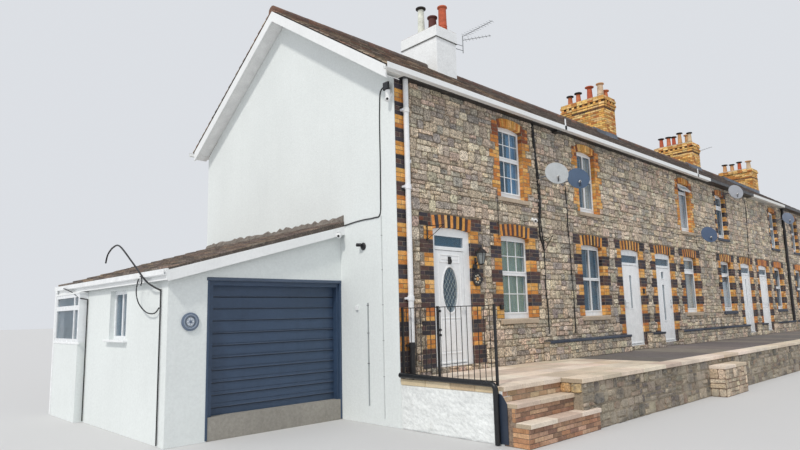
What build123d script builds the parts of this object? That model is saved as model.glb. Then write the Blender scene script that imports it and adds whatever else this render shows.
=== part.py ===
from build123d import *
from math import asin, cos, degrees, radians, sin, tan
import os

os.makedirs("parts", exist_ok=True)

# A row of six stone terraced houses with a rendered gable, a lean-to garage and a raised terrace.
# Millimetres. X runs along the front, Y goes back from the front wall, Z is up from the lowest ground.
# The origin is the front corner of the gable, at the lowest ground.

# Row
house_count = 6
first_party_x = 4970
house_pitch = 4550
row_depth = 6960
sill_level = 900
stone_wall_t = 450
gable_wall_t = 400
party_wall_t = 230
end_wall_t = 300

# Storeys, above the door sills
storey_height = 2800
upper_floor_t = 220
ground_floor_t = 150
soffit_height = 5080

# Door and window openings in the front wall
first_door_x = 1400
door_from_party = 1010
window_beside_left_party = 1530
window_beside_right_party = 1590
door_opening_w = 1040
lower_window_w = 980
upper_window_w = 830
lower_window_sill = 800
upper_window_sill = 3290
ground_spring = 2460
ground_arch_rise = 40
ground_arch_t = 240
upper_spring = 4770
upper_arch_rise = 60
upper_arch_t = 170

# Sills and the low plinth
sill_t = 100
sill_projection = 60
sill_overhang = 130
upper_sill_overhang = 110
plinth_height = 300
plinth_projection = 150
plinth_cap_t = 45
plinth_cap_overhang = 25
plinth_start_x = 4200
plinth_door_gap = 90

# Window frames and glass
window_recess = 100
frame_depth = 70
frame_face = 65
frame_foot = 130
frame_crown = 110
glass_t = 24
bar_face = 50

# Each house's windows: the transom's height over the sill, its face, and the upright bars between lights
lower_patterns = [(920, 95, 0), (875, 70, 1), (1250, 150, 0), (1220, 130, 0), (876, 90, 0), (850, 90, 0)]
upper_patterns = [(840, 95, 0), (830, 80, 1), (1240, 110, 0), (1090, 150, 0), (836, 90, 0), (836, 90, 0)]
rear_pattern = (900, 90, 1)

# Front doors. Some frames have a wide strip on the side away from the hinge
side_strips = [95, 0, 0, 0, 0, 0]
door_recess = 40
door_frame_face = 75
door_frame_depth = 58
threshold_t = 30
leaf_t = 50
leaf_height = 2040
leaf_gap = 8
transom_t = 65
fanlight_height = 190
door_swing = 88
handle_height = 1000
moulding_depth = 8
hinge_levels = [250, 1020, 1790]
knuckle_r = 7
knuckle_h = 36
hinge_stand_off = 12
lug_length = 30
lug_clearance = 1.5

# Roof
roof_pitch = 33.53
ridge_height = 7610
roof_t = 180
verge_overhang = 300
far_overhang = 60
eaves_board_out = 150
tile_lip_out = 215
tile_lip_t = 30
ridge_tile_r = 125
ridge_tile_t = 18
ridge_tile_length = 450
ridge_tile_sink = 30

# Eaves, verge and rainwater goods
fascia_t = 25
fascia_drop = 15
fascia_top = 5120
soffit_t = 12
gutter_width = 112
gutter_depth = 100
gutter_wall = 5
gutter_top = 5170
gutter_back = 5122
gutter_end = 110
barge_t = 28
barge_depth = 230
downpipe_d = 100
downpipe_x = 215
soil_pipe_d = 110
soil_pipe_x = 22900

# Chimneys
# each stack: left and right side, front and back, and its top above the door sill
stack_plans = [
    (4496, 5293, 3025, 4335, 8670),
    (13660, 14490, 3020, 4780, 8900),
    (22290, 23210, 3170, 4910, 8700),
    (26980, 27850, 2070, 3610, 7920),
]
chimney_band_height = 320
chimney_band_out = 25
oversail_out = 45
oversail_course = 85
pot_r = 110
pot_wall = 18

# Lean-to garage
garage_front_y = 1540
garage_width = 3270
garage_floor_z = 350
garage_wall_t = 220
garage_roof_join = 2680
garage_eaves = 1700
garage_roof_t = 90
garage_roof_front_out = 110
garage_roof_side_out = 60
garage_door_head = 1550
garage_door_left = 2620
garage_frame_face = 90
garage_frame_depth = 120
garage_leaf_t = 45
garage_panel_height = 183
garage_leaf_set_back = 105
garage_fascia_low = (30, 200)
garage_fascia_high = (88, 245)
side_window_y = 3580
side_window_w = 780
side_window_sill = 620
side_window_head = 1460
side_window_set_back = 80
bay_y = 5950
bay_w = 1500
bay_projection = 150
bay_sill = 560
bay_head = 1480
bay_top_board_t = 30
bay_transom = (1170, 1260)
bay_lights = [0.16, 0.84]

# Terrace
terrace_drop = 110
terrace_front_y = -2420
landing_front_y = -2050
landing_length = 1500
flag_t = 60
flag_overhang = 30
terrace_wall_t = 180
step_going = 210
step_tread_t = 55
lower_step_length = 1900
lower_step_level = 320
upper_step_level = 570
far_step_x = 6600
far_step_length = 1300
far_step_out = 330
far_step_level = 620

# Railing and drainpipe
rail_height = 1150
rail_bar = 12
rail_post = 32
rail_strip_w = 40
rail_strip_t = 12
rail_spacing = 110
drain_d = 80
drain_fall = 30
drain_corner_y = -1975

# Dishes, lantern and brackets
dish_r = 260
dish_depth = 55
dish_t = 8
lantern_height = 420


# Worked-out levels and places
eaves_slope = tan(radians(roof_pitch))
ridge_y = row_depth / 2
ridge_z = sill_level + ridge_height
roof_drop = roof_t / cos(radians(roof_pitch))
soffit_z = sill_level + soffit_height
terrace_top = sill_level - terrace_drop
party_xs = [first_party_x + house_pitch * k for k in range(house_count - 1)]
far_party_x = first_party_x + house_pitch * (house_count - 1)
row_length = far_party_x + end_wall_t / 2
left_xs = [gable_wall_t / 2] + party_xs
right_xs = party_xs + [far_party_x]
door_xs = [first_door_x]
window_xs = [first_party_x - window_beside_right_party]
for house in range(1, house_count):
    if house % 2 == 1:
        window_xs.append(left_xs[house] + window_beside_left_party)
        door_xs.append(right_xs[house] - door_from_party)
    else:
        door_xs.append(left_xs[house] + door_from_party)
        window_xs.append(right_xs[house] - window_beside_right_party)
room_lefts = [gable_wall_t] + [x + party_wall_t / 2 for x in party_xs]
room_rights = [x - party_wall_t / 2 for x in party_xs] + [row_length - end_wall_t]
inner_front_y = stone_wall_t
inner_back_y = row_depth - stone_wall_t


def roof_top_z(y):
    """Height of the roof's top surface over a line y back from the front wall."""
    return ridge_z - eaves_slope * abs(y - ridge_y)


def roof_under_z(y):
    """Height of the roof's underside over the same line."""
    return roof_top_z(y) - roof_drop


def garage_roof_z(x):
    """Height of the lean-to roof's top surface at x, which falls away from the gable."""
    fall = (garage_roof_join - garage_eaves) / (garage_width + garage_roof_side_out)
    return sill_level + garage_roof_join + fall * x


def block(x0, x1, y0, y1, z0, z1, mode=Mode.ADD):
    """A plain block between two corners, added to the part that is being built."""
    with Locations(((x0 + x1) / 2, (y0 + y1) / 2, (z0 + z1) / 2)):
        Box(x1 - x0, y1 - y0, z1 - z0, mode=mode)


def save(part, name):
    """Label a finished piece and write it under its node's name."""
    part.label = name
    export_step(part, f"parts/{name}.step")


def arched_outline(cx, width, bottom, spring, rise):
    """Outline of an opening with a flat foot and a segmental head, in an upright sketch."""
    half = width / 2
    with BuildLine() as outline:
        Polyline((cx - half, spring), (cx - half, bottom), (cx + half, bottom), (cx + half, spring))
        ThreePointArc((cx - half, spring), (cx, spring + rise), (cx + half, spring))
    make_face(outline.edges())


def ring_outline(cx, width, spring, rise, depth):
    """Outline of a segmental arch ring whose ends lie along its radii."""
    half = width / 2
    radius = (half * half + rise * rise) / (2 * rise)
    centre = spring + rise - radius
    lean = asin(half / radius)
    outer = radius + depth
    low_left = (cx - half, spring)
    low_right = (cx + half, spring)
    high_left = (cx - outer * sin(lean), centre + outer * cos(lean))
    high_right = (cx + outer * sin(lean), centre + outer * cos(lean))
    with BuildLine() as outline:
        ThreePointArc(low_left, (cx, spring + rise), low_right)
        Line(low_right, high_right)
        ThreePointArc(high_right, (cx, centre + outer), high_left)
        Line(high_left, low_left)
    make_face(outline.edges())


# Front wall, ground storey: a base course, the piers between the openings and the aprons below windows
lower_openings = sorted(
    [(x, door_opening_w) for x in door_xs] + [(x, lower_window_w) for x in window_xs]
)
pier_edges = [0]
for x, width in lower_openings:
    pier_edges += [x - width / 2, x + width / 2]
pier_edges.append(row_length)
spring_z = sill_level + ground_spring

with BuildPart() as front_wall_base:
    block(0, row_length, 0, stone_wall_t, 0, sill_level)
save(front_wall_base.part, "front_wall_base")

with BuildPart() as front_wall_piers:
    for left, right in zip(pier_edges[0::2], pier_edges[1::2]):
        block(left, right, 0, stone_wall_t, sill_level, spring_z)
save(front_wall_piers.part, "front_wall_piers")

with BuildPart() as window_aprons:
    for x in window_xs:
        half = lower_window_w / 2
        block(x - half, x + half, 0, stone_wall_t, sill_level, sill_level + lower_window_sill - sill_t)
save(window_aprons.part, "window_aprons")

# Arch rings over every front opening
with BuildPart() as brick_arches:
    with BuildSketch(Plane.XZ):
        for x, width in lower_openings:
            ring_outline(x, width, spring_z, ground_arch_rise, ground_arch_t)
        for x in window_xs:
            ring_outline(x, upper_window_w, sill_level + upper_spring, upper_arch_rise, upper_arch_t)
    extrude(amount=-stone_wall_t)
save(brick_arches.part, "brick_arches")

# Front wall over the arches, cut to their backs and through at the upper windows
with BuildPart() as front_wall_upper:
    with BuildSketch(Plane.YZ):
        Polygon(
            (0, spring_z),
            (stone_wall_t, spring_z),
            (stone_wall_t, roof_under_z(stone_wall_t)),
            (0, roof_under_z(0)),
            align=None,
        )
    extrude(amount=row_length)
    with BuildSketch(Plane.XZ):
        for x, width in lower_openings:
            arched_outline(x, width, spring_z - 1, spring_z, ground_arch_rise)
            ring_outline(x, width, spring_z, ground_arch_rise, ground_arch_t)
        for x in window_xs:
            head = sill_level + upper_spring
            foot = sill_level + upper_window_sill - sill_t
            arched_outline(x, upper_window_w, foot, head, upper_arch_rise)
            ring_outline(x, upper_window_w, head, upper_arch_rise, upper_arch_t)
    extrude(amount=-stone_wall_t, mode=Mode.SUBTRACT)
save(front_wall_upper.part, "front_wall_upper")

# Stone sills, each with a weathered top, set in the wall and projecting a little
with BuildPart() as stone_sills:
    for x in window_xs:
        for width, level, lap in (
            (lower_window_w, lower_window_sill, sill_overhang),
            (upper_window_w, upper_window_sill, upper_sill_overhang),
        ):
            top = sill_level + level
            half = width / 2
            with BuildSketch(Plane.YZ.offset(x - half - lap)):
                Polygon(
                    (-sill_projection, top - sill_t),
                    (0, top - sill_t),
                    (0, top),
                    (-sill_projection, top - sill_t / 5),
                    align=None,
                )
            extrude(amount=width + 2 * lap)
            block(x - half, x + half, 0, window_recess + frame_depth, top - sill_t, top)
save(stone_sills.part, "stone_sills")

# Low plinth with a flat capping, along the wall between the doors
plinth_breaks = [plinth_start_x]
for x in door_xs:
    if x > plinth_start_x:
        half = door_opening_w / 2 + plinth_door_gap
        plinth_breaks += [x - half, x + half]
plinth_breaks += [soil_pipe_x - soil_pipe_d, soil_pipe_x + soil_pipe_d, row_length]
plinth_breaks.sort()
with BuildPart() as low_plinth:
    top = sill_level + plinth_height
    for left, right in zip(plinth_breaks[0::2], plinth_breaks[1::2]):
        block(left, right, -plinth_projection, 0, terrace_top, top - plinth_cap_t)
        block(left, right, -plinth_projection - plinth_cap_overhang, 0, top - plinth_cap_t, top)
save(low_plinth.part, "low_plinth")

# Cross walls: the rendered gable, the party walls and the plain far end
gable_outline = [
    (inner_front_y, 0),
    (inner_back_y, 0),
    (inner_back_y, roof_under_z(inner_back_y)),
    (ridge_y, roof_under_z(ridge_y)),
    (inner_front_y, roof_under_z(inner_front_y)),
]


def cross_wall(x, thickness):
    """A wall across the row, from the front wall's back face to the rear wall's."""
    with BuildSketch(Plane.YZ.offset(x)) as outline:
        Polygon(*gable_outline, align=None)
    extrude(outline.sketch, amount=thickness)


with BuildPart() as gable_wall:
    cross_wall(0, gable_wall_t)
save(gable_wall.part, "gable_wall")

with BuildPart() as party_walls:
    for x in party_xs:
        cross_wall(x - party_wall_t / 2, party_wall_t)
save(party_walls.part, "party_walls")

with BuildPart() as end_wall:
    cross_wall(row_length - end_wall_t, end_wall_t)
save(end_wall.part, "end_wall")

# Rear wall, with a door and two windows to each house
rear_head = sill_level + ground_spring
rear_upper_head = sill_level + upper_spring
with BuildPart() as rear_wall:
    with BuildSketch(Plane.YZ):
        Polygon(
            (inner_back_y, 0),
            (row_depth, 0),
            (row_depth, roof_under_z(row_depth)),
            (inner_back_y, roof_under_z(inner_back_y)),
            align=None,
        )
    extrude(amount=row_length)
    for x in door_xs:
        half = door_opening_w / 2
        block(x - half, x + half, inner_back_y, row_depth, sill_level, rear_head, Mode.SUBTRACT)
    for x in window_xs:
        low = lower_window_w / 2
        high = upper_window_w / 2
        block(
            x - low, x + low, inner_back_y, row_depth,
            sill_level + lower_window_sill, rear_head, Mode.SUBTRACT,
        )
        block(
            x - high, x + high, inner_back_y, row_depth,
            sill_level + upper_window_sill, rear_upper_head, Mode.SUBTRACT,
        )
save(rear_wall.part, "rear_wall")

# Floors, one slab to each house and storey, and the garage floor
with BuildPart() as ground_floors:
    for left, right in zip(room_lefts, room_rights):
        block(left, right, inner_front_y, inner_back_y, sill_level - ground_floor_t, sill_level)
    block(
        garage_wall_t - garage_width, 0, garage_front_y + garage_wall_t, row_depth - garage_wall_t,
        0, garage_floor_z,
    )
save(ground_floors.part, "ground_floors")

with BuildPart() as upper_floors:
    upper_level = sill_level + storey_height
    for left, right in zip(room_lefts, room_rights):
        block(left, right, inner_front_y, inner_back_y, upper_level - upper_floor_t, upper_level)
save(upper_floors.part, "upper_floors")


def window_lights(cx, width, foot, crown, pattern):
    """The lights of a window as (left, right, low, high), under and over its transom."""
    transom, transom_face, mullions = pattern
    start = cx - width / 2 + frame_face
    light_w = (width - 2 * frame_face - mullions * bar_face) / (mullions + 1)
    middle = foot + transom
    lights = []
    for low, high in (
        (foot + frame_foot, middle - transom_face / 2),
        (middle + transom_face / 2, crown - frame_crown),
    ):
        for k in range(mullions + 1):
            left = start + k * (light_w + bar_face)
            lights.append((left, left + light_w, low, high))
    return lights


def window_frame(cx, width, foot, spring, rise, y0, pattern):
    """A window frame with a segmental or flat head, cut through at its lights."""
    with BuildSketch(Plane.XZ.offset(-y0)) as outline:
        if rise:
            arched_outline(cx, width, foot, spring, rise)
        else:
            with Locations((cx, (foot + spring) / 2)):
                Rectangle(width, spring - foot)
        for left, right, low, high in window_lights(cx, width, foot, spring + rise, pattern):
            with Locations(((left + right) / 2, (low + high) / 2)):
                Rectangle(right - left, high - low, mode=Mode.SUBTRACT)
    extrude(outline.sketch, amount=-frame_depth)


def window_glass(cx, width, foot, spring, rise, y0, pattern):
    """The panes of one window, each filling its light at mid depth."""
    pane_y = y0 + (frame_depth - glass_t) / 2
    for left, right, low, high in window_lights(cx, width, foot, spring + rise, pattern):
        block(left, right, pane_y, pane_y + glass_t, low, high)


# Windows, each as its middle, width, foot, springing, rise and pattern
front_windows = []
for house, x in enumerate(window_xs):
    front_windows.append(
        (x, lower_window_w, sill_level + lower_window_sill, spring_z, ground_arch_rise,
         lower_patterns[house])
    )
    front_windows.append(
        (x, upper_window_w, sill_level + upper_window_sill, sill_level + upper_spring, upper_arch_rise,
         upper_patterns[house])
    )

with BuildPart() as front_window_frames:
    for x, width, foot, spring, rise, pattern in front_windows:
        window_frame(x, width, foot, spring, rise, window_recess, pattern)
save(front_window_frames.part, "front_window_frames")

with BuildPart() as front_window_glass:
    for x, width, foot, spring, rise, pattern in front_windows:
        window_glass(x, width, foot, spring, rise, window_recess, pattern)
save(front_window_glass.part, "front_window_glass")

rear_frame_y = row_depth - window_recess - frame_depth
rear_windows = []
for x in window_xs:
    rear_windows.append((x, lower_window_w, sill_level + lower_window_sill, rear_head))
    rear_windows.append((x, upper_window_w, sill_level + upper_window_sill, rear_upper_head))
with BuildPart() as rear_window_frames:
    for x, width, foot, head in rear_windows:
        window_frame(x, width, foot, head, 0, rear_frame_y, rear_pattern)
save(rear_window_frames.part, "rear_window_frames")

with BuildPart() as rear_window_glass:
    for x, width, foot, head in rear_windows:
        window_glass(x, width, foot, head, 0, rear_frame_y, rear_pattern)
save(rear_window_glass.part, "rear_window_glass")

# Back doors stay shut: each is a framed panel that fills its opening
with BuildPart() as back_doors:
    for x in door_xs:
        half = door_opening_w / 2
        block(x - half, x + half, rear_frame_y, rear_frame_y + frame_depth, sill_level, rear_head)
        block(
            x - half + 150, x + half - 150, rear_frame_y + frame_depth - 15, rear_frame_y + frame_depth,
            sill_level + 180, sill_level + 900, Mode.SUBTRACT,
        )
        block(
            x - half + 150, x + half - 150, rear_frame_y + frame_depth - 15, rear_frame_y + frame_depth,
            sill_level + 1080, sill_level + 1900, Mode.SUBTRACT,
        )
save(back_doors.part, "back_doors")

# Front door frames: two posts with the fixed hinge knuckles, then the threshold, transom and arched head
hinge_sides = [-1, 1, -1, 1, -1, 1]
leaf_foot = sill_level + threshold_t + leaf_gap
transom_foot = leaf_foot + leaf_height + leaf_gap
fanlight_foot = transom_foot + transom_t
head_foot = fanlight_foot + fanlight_height
frame_front = door_recess
frame_back = door_recess + door_frame_depth
axis_y = frame_back + hinge_stand_off
clear_lefts = []
clear_rights = []
for x, side, strip in zip(door_xs, hinge_sides, side_strips):
    half = door_opening_w / 2 - door_frame_face
    clear_lefts.append(x - half + (strip if side > 0 else 0))
    clear_rights.append(x + half - (strip if side < 0 else 0))
leaf_lefts = [x + leaf_gap for x in clear_lefts]
leaf_rights = [x - leaf_gap for x in clear_rights]
axis_xs = [
    left - leaf_gap / 2 if side < 0 else right + leaf_gap / 2
    for left, right, side in zip(leaf_lefts, leaf_rights, hinge_sides)
]


def hinge_pieces(spots, toward):
    """Hinge knuckles at the given places, with lugs that reach toward +X or -X and fix them."""
    reach = (lug_length + lug_clearance) / 2
    with Locations(*[(x + toward * reach, (frame_back + axis_y) / 2, z) for x, z in spots]):
        Box(lug_length - lug_clearance, hinge_stand_off, knuckle_h)
    with Locations(*[(x, axis_y, z) for x, z in spots]):
        Cylinder(knuckle_r, knuckle_h)


with BuildPart() as door_frame_posts:
    for house, x in enumerate(door_xs):
        half = door_opening_w / 2
        block(x - half, clear_lefts[house], frame_front, frame_back, sill_level, head_foot)
        block(clear_rights[house], x + half, frame_front, frame_back, sill_level, head_foot)
    for toward in (-1, 1):
        spots = [
            (axis_x, leaf_foot + level + step * knuckle_h)
            for axis_x, side in zip(axis_xs, hinge_sides)
            for level in hinge_levels
            for step in (-1, 1)
            if side == toward
        ]
        hinge_pieces(spots, toward)
save(door_frame_posts.part, "door_frame_posts")

with BuildPart() as door_frame_rails:
    for house, x in enumerate(door_xs):
        left, right = clear_lefts[house], clear_rights[house]
        block(left, right, 0, frame_back, sill_level, sill_level + threshold_t)
        block(left, right, frame_front, frame_back, transom_foot, fanlight_foot)
        with BuildSketch(Plane.XZ.offset(-frame_front)):
            arched_outline(x, door_opening_w, head_foot, spring_z, ground_arch_rise)
        extrude(amount=-door_frame_depth)
save(door_frame_rails.part, "door_frame_rails")

with BuildPart() as fanlight_glass:
    pane_y = frame_front + (door_frame_depth - glass_t) / 2
    for left, right in zip(clear_lefts, clear_rights):
        block(left, right, pane_y, pane_y + glass_t, fanlight_foot, head_foot)
save(fanlight_glass.part, "fanlight_glass")

# Front door leaves. Each glazed hole is given as (x, z, width, height) from the leaf's middle and foot
leaf_front = frame_back - leaf_t
leaf_holes = [
    [],
    [(-10, 1350, 110, 860)],
    [(-30, 1840, 160, 190), (-30, 1065, 140, 1000)],
    [(0, 1390, 110, 1000)],
    [],
    [(0, 1390, 110, 1000)],
]
oval_height = 1325
oval_rx = 205
oval_rz = 420


def leaf_sketch(house, x):
    """The glazed shapes of one leaf, in an upright sketch."""
    if house == 0:
        with Locations((x, leaf_foot + oval_height)):
            Ellipse(oval_rx, oval_rz)
    for dx, dz, width, height in leaf_holes[house]:
        with Locations((x + dx, leaf_foot + dz)):
            Rectangle(width, height)


for house, side in enumerate(hinge_sides):
    left, right = leaf_lefts[house], leaf_rights[house]
    x = (left + right) / 2
    name = f"front_door_{house + 1}"
    glazed = house == 0 or leaf_holes[house]
    with BuildPart() as leaf:
        block(left, right, leaf_front, frame_back, leaf_foot, leaf_foot + leaf_height)
        hinge_pieces([(axis_xs[house], leaf_foot + level) for level in hinge_levels], -side)
        if glazed:
            with BuildSketch(Plane.XZ.offset(-leaf_front)):
                leaf_sketch(house, x)
            extrude(amount=-leaf_t, mode=Mode.SUBTRACT)
        else:
            with BuildSketch(Plane.XZ.offset(-leaf_front)):
                panel_w = (right - left) / 2 - 150
                for panel_side in (-1, 1):
                    panel_x = x + panel_side * (right - left) / 4
                    with Locations((panel_x, leaf_foot + 530), (panel_x, leaf_foot + 1480)):
                        Rectangle(panel_w, 640)
            extrude(amount=-moulding_depth, mode=Mode.SUBTRACT)
        free_x = (right - 55) if side < 0 else (left + 55)
        block(
            free_x - 16, free_x + 16, leaf_front - 10, leaf_front,
            leaf_foot + handle_height - 110, leaf_foot + handle_height + 110,
        )
        with Locations((free_x + side * 50, leaf_front - 32, leaf_foot + handle_height)):
            Box(130, 16, 20)
        with Locations((free_x, leaf_front - 22, leaf_foot + handle_height)):
            Box(20, 30, 20)
    save(leaf.part, name)
    if glazed:
        with BuildPart() as leaf_glass:
            with BuildSketch(Plane.XZ.offset(-(leaf_front + (leaf_t - glass_t) / 2))):
                leaf_sketch(house, x)
            extrude(amount=-glass_t)
        save(leaf_glass.part, f"{name}_glass")


def roof_slope(sign):
    """One roof slope, with a thin tile lip over the gutter."""
    lip_y = -tile_lip_out
    board_y = -eaves_board_out
    level_y = ridge_y - (roof_under_z(ridge_y) - soffit_z) / eaves_slope
    outline = [
        (ridge_y, ridge_z),
        (lip_y, roof_top_z(lip_y)),
        (lip_y, roof_top_z(lip_y) - tile_lip_t),
        (board_y, roof_top_z(board_y) - tile_lip_t),
        (board_y, soffit_z),
        (level_y, soffit_z),
        (ridge_y, roof_under_z(ridge_y)),
    ]
    points = [(y if sign > 0 else row_depth - y, z) for y, z in outline]
    with BuildSketch(Plane.YZ.offset(-verge_overhang)) as slope:
        Polygon(*points, align=None)
    extrude(slope.sketch, amount=row_length + verge_overhang + far_overhang)
    for left, right, front, back, _ in stack_plans:
        block(left, right, front, back, soffit_z, ridge_z + 1, Mode.SUBTRACT)


with BuildPart() as roof_front:
    roof_slope(1)
save(roof_front.part, "roof_front")

with BuildPart() as roof_rear:
    roof_slope(-1)
save(roof_rear.part, "roof_rear")

# Chimney stacks on the party walls and the far end wall: the first is rendered with a band,
# the others have oversailing courses
with BuildPart() as chimney_stacks:
    for k, (left, right, front, back, height) in enumerate(stack_plans):
        top = sill_level + height
        with BuildSketch(Plane.YZ.offset(left)):
            Polygon(
                (front, roof_under_z(front)),
                (ridge_y, roof_under_z(ridge_y)),
                (back, roof_under_z(back)),
                (back, top),
                (front, top),
                align=None,
            )
        extrude(amount=right - left)
        if k == 0:
            out = chimney_band_out
            block(left - out, right + out, front - out, back + out, top - chimney_band_height, top)
        else:
            for course, out in ((5, 0.5), (4, 1.0), (2, 1.0), (1, 0.5)):
                if top - course * oversail_course < ridge_z + ridge_tile_r:
                    continue
                reach = oversail_out * out
                level = top - course * oversail_course
                block(
                    left - reach, right + reach, front - reach, back + reach,
                    level, level + oversail_course,
                )
save(chimney_stacks.part, "chimney_stacks")

# Pots on each stack, as (x, y, height, radius, rim)
stack_pots = [
    [(5000, 3220, 770, 119, 20), (4920, 3530, 560, 122, 24), (4890, 3940, 980, 106, 40)],
    [
        (14050, 4610, 470, 100, 42), (14050, 4250, 510, 104, 46), (14050, 3760, 620, 116, 52),
        (13900, 3240, 560, 120, 30), (14290, 3240, 380, 100, 40),
    ],
    [
        (22750, 4740, 580, 104, 46), (22540, 4300, 520, 104, 46), (22950, 4210, 600, 100, 44),
        (22580, 3780, 620, 100, 46), (22970, 3600, 560, 100, 40), (22600, 3330, 540, 96, 40),
    ],
    [
        (27420, 3440, 500, 104, 44), (27420, 3090, 460, 100, 42), (27420, 2730, 520, 100, 42),
        (27420, 2300, 490, 110, 44),
    ],
]
with BuildPart() as chimney_pots:
    for plan, pots in zip(stack_plans, stack_pots):
        top = sill_level + plan[-1]
        for x, y, height, radius, rim in pots:
            bore = radius - rim / 2 - pot_wall
            with BuildSketch(Plane.XZ.offset(-y)):
                Polygon(
                    (x + bore, top),
                    (x + radius + 20, top),
                    (x + radius + 20, top + 35),
                    (x + radius, top + 60),
                    (x + radius - rim / 2, top + height - 70),
                    (x + radius + rim, top + height - 40),
                    (x + radius + rim, top + height - 12),
                    (x + radius, top + height),
                    (x + bore, top + height),
                    align=None,
                )
            revolve(axis=Axis((x, y, 0), (0, 0, 1)))
save(chimney_pots.part, "chimney_pots")

# Ridge tiles, half round, between the chimneys
with BuildPart() as ridge_tiles:
    breaks = [-verge_overhang]
    for stack_left, stack_right, *_ in stack_plans:
        breaks += [stack_left - 5, stack_right + 5]
    breaks.append(row_length + far_overhang)
    for left, right in zip(breaks[0::2], breaks[1::2]):
        with BuildSketch(Plane.YZ.offset(left)):
            with Locations((ridge_y, ridge_z - ridge_tile_sink)):
                Circle(ridge_tile_r)
                Circle(ridge_tile_r - ridge_tile_t, mode=Mode.SUBTRACT)
            with BuildLine():
                Polyline(
                    (ridge_y, ridge_z), (ridge_y - 600, roof_top_z(ridge_y - 600)),
                    (ridge_y - 600, ridge_z - 900), (ridge_y + 600, ridge_z - 900),
                    (ridge_y + 600, roof_top_z(ridge_y + 600)), close=True,
                )
            make_face(mode=Mode.SUBTRACT)
        extrude(amount=right - left)
save(ridge_tiles.part, "ridge_tiles")

# Barge boards along the gable verge and the boxed eaves
with BuildPart() as barge_boards:
    board_y = -eaves_board_out
    for mirrored in (False, True):
        outline = [
            (ridge_y, roof_top_z(ridge_y) - tile_lip_t),
            (board_y, roof_top_z(board_y) - tile_lip_t),
            (board_y, roof_top_z(board_y) - tile_lip_t - barge_depth),
            (ridge_y, roof_top_z(ridge_y) - tile_lip_t - barge_depth),
        ]
        points = [(row_depth - y if mirrored else y, z) for y, z in outline]
        with BuildSketch(Plane.YZ.offset(-verge_overhang - barge_t)):
            Polygon(*points, align=None)
        extrude(amount=barge_t)
save(barge_boards.part, "barge_boards")

with BuildPart() as eaves_boards:
    for side in (0, 1):
        def across(y):
            return row_depth - y if side else y

        low_y, high_y = sorted((across(-eaves_board_out - fascia_t), across(-eaves_board_out)))
        block(
            -verge_overhang - barge_t, row_length + far_overhang, low_y, high_y,
            soffit_z - fascia_drop, sill_level + fascia_top,
        )
        low_y, high_y = sorted((across(-eaves_board_out), across(0)))
        block(-verge_overhang, row_length + far_overhang, low_y, high_y, soffit_z - soffit_t, soffit_z)
save(eaves_boards.part, "eaves_boards")

# Gutters, open troughs fixed to the fascias; the tile lips reach over their back edges
with BuildPart() as gutters:
    for side in (0, 1):
        face_y = -eaves_board_out - fascia_t
        outer_y = face_y - gutter_width
        foot_z = sill_level + gutter_top - gutter_depth
        outline = [
            (face_y, sill_level + gutter_back),
            (face_y, foot_z),
            (outer_y, foot_z),
            (outer_y, sill_level + gutter_top),
            (outer_y + gutter_wall, sill_level + gutter_top),
            (outer_y + gutter_wall, foot_z + gutter_wall),
            (face_y - gutter_wall, foot_z + gutter_wall),
            (face_y - gutter_wall, sill_level + gutter_back),
        ]
        points = [(row_depth - y if side else y, z) for y, z in outline]
        with BuildSketch(Plane.YZ.offset(-verge_overhang - gutter_end)):
            Polygon(*points, align=None)
        extrude(amount=row_length + verge_overhang + gutter_end + far_overhang)
save(gutters.part, "gutters")

# Downpipes and the soil pipe, standing on the terrace or the ground
pipe_gap = 20
with BuildPart() as downpipes:
    for x, size in ((downpipe_x, downpipe_d), (soil_pipe_x, soil_pipe_d)):
        with BuildSketch(Plane.XY.offset(terrace_top)):
            with Locations((x, -pipe_gap - size / 2)):
                Circle(size / 2)
        extrude(amount=soffit_z - soffit_t - terrace_top)
    for x in party_xs[0::2]:
        with BuildSketch(Plane.XY):
            with Locations((x, row_depth + pipe_gap + downpipe_d / 2)):
                Circle(downpipe_d / 2)
        extrude(amount=soffit_z - soffit_t)
save(downpipes.part, "downpipes")

# Lean-to garage: the front and back walls, the side wall with its window and bay, and the roof
garage_left = -garage_width
door_left = -garage_door_left
garage_head_z = sill_level + garage_door_head


def garage_end(y):
    """The sloping wall across one end of the lean-to."""
    with BuildSketch(Plane.XZ.offset(-y)) as outline:
        Polygon(
            (garage_left, 0),
            (0, 0),
            (0, garage_roof_z(0) - garage_roof_t),
            (garage_left, garage_roof_z(garage_left) - garage_roof_t),
            align=None,
        )
    extrude(outline.sketch, amount=-garage_wall_t)


with BuildPart() as garage_front_wall:
    garage_end(garage_front_y)
    block(
        door_left, 0, garage_front_y, garage_front_y + garage_wall_t, 0, garage_head_z, Mode.SUBTRACT
    )
save(garage_front_wall.part, "garage_front_wall")

with BuildPart() as garage_back_wall:
    garage_end(row_depth - garage_wall_t)
save(garage_back_wall.part, "garage_back_wall")

with BuildPart() as garage_threshold:
    block(door_left, 0, garage_front_y, garage_front_y + garage_wall_t, 0, garage_floor_z)
save(garage_threshold.part, "garage_threshold")

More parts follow.
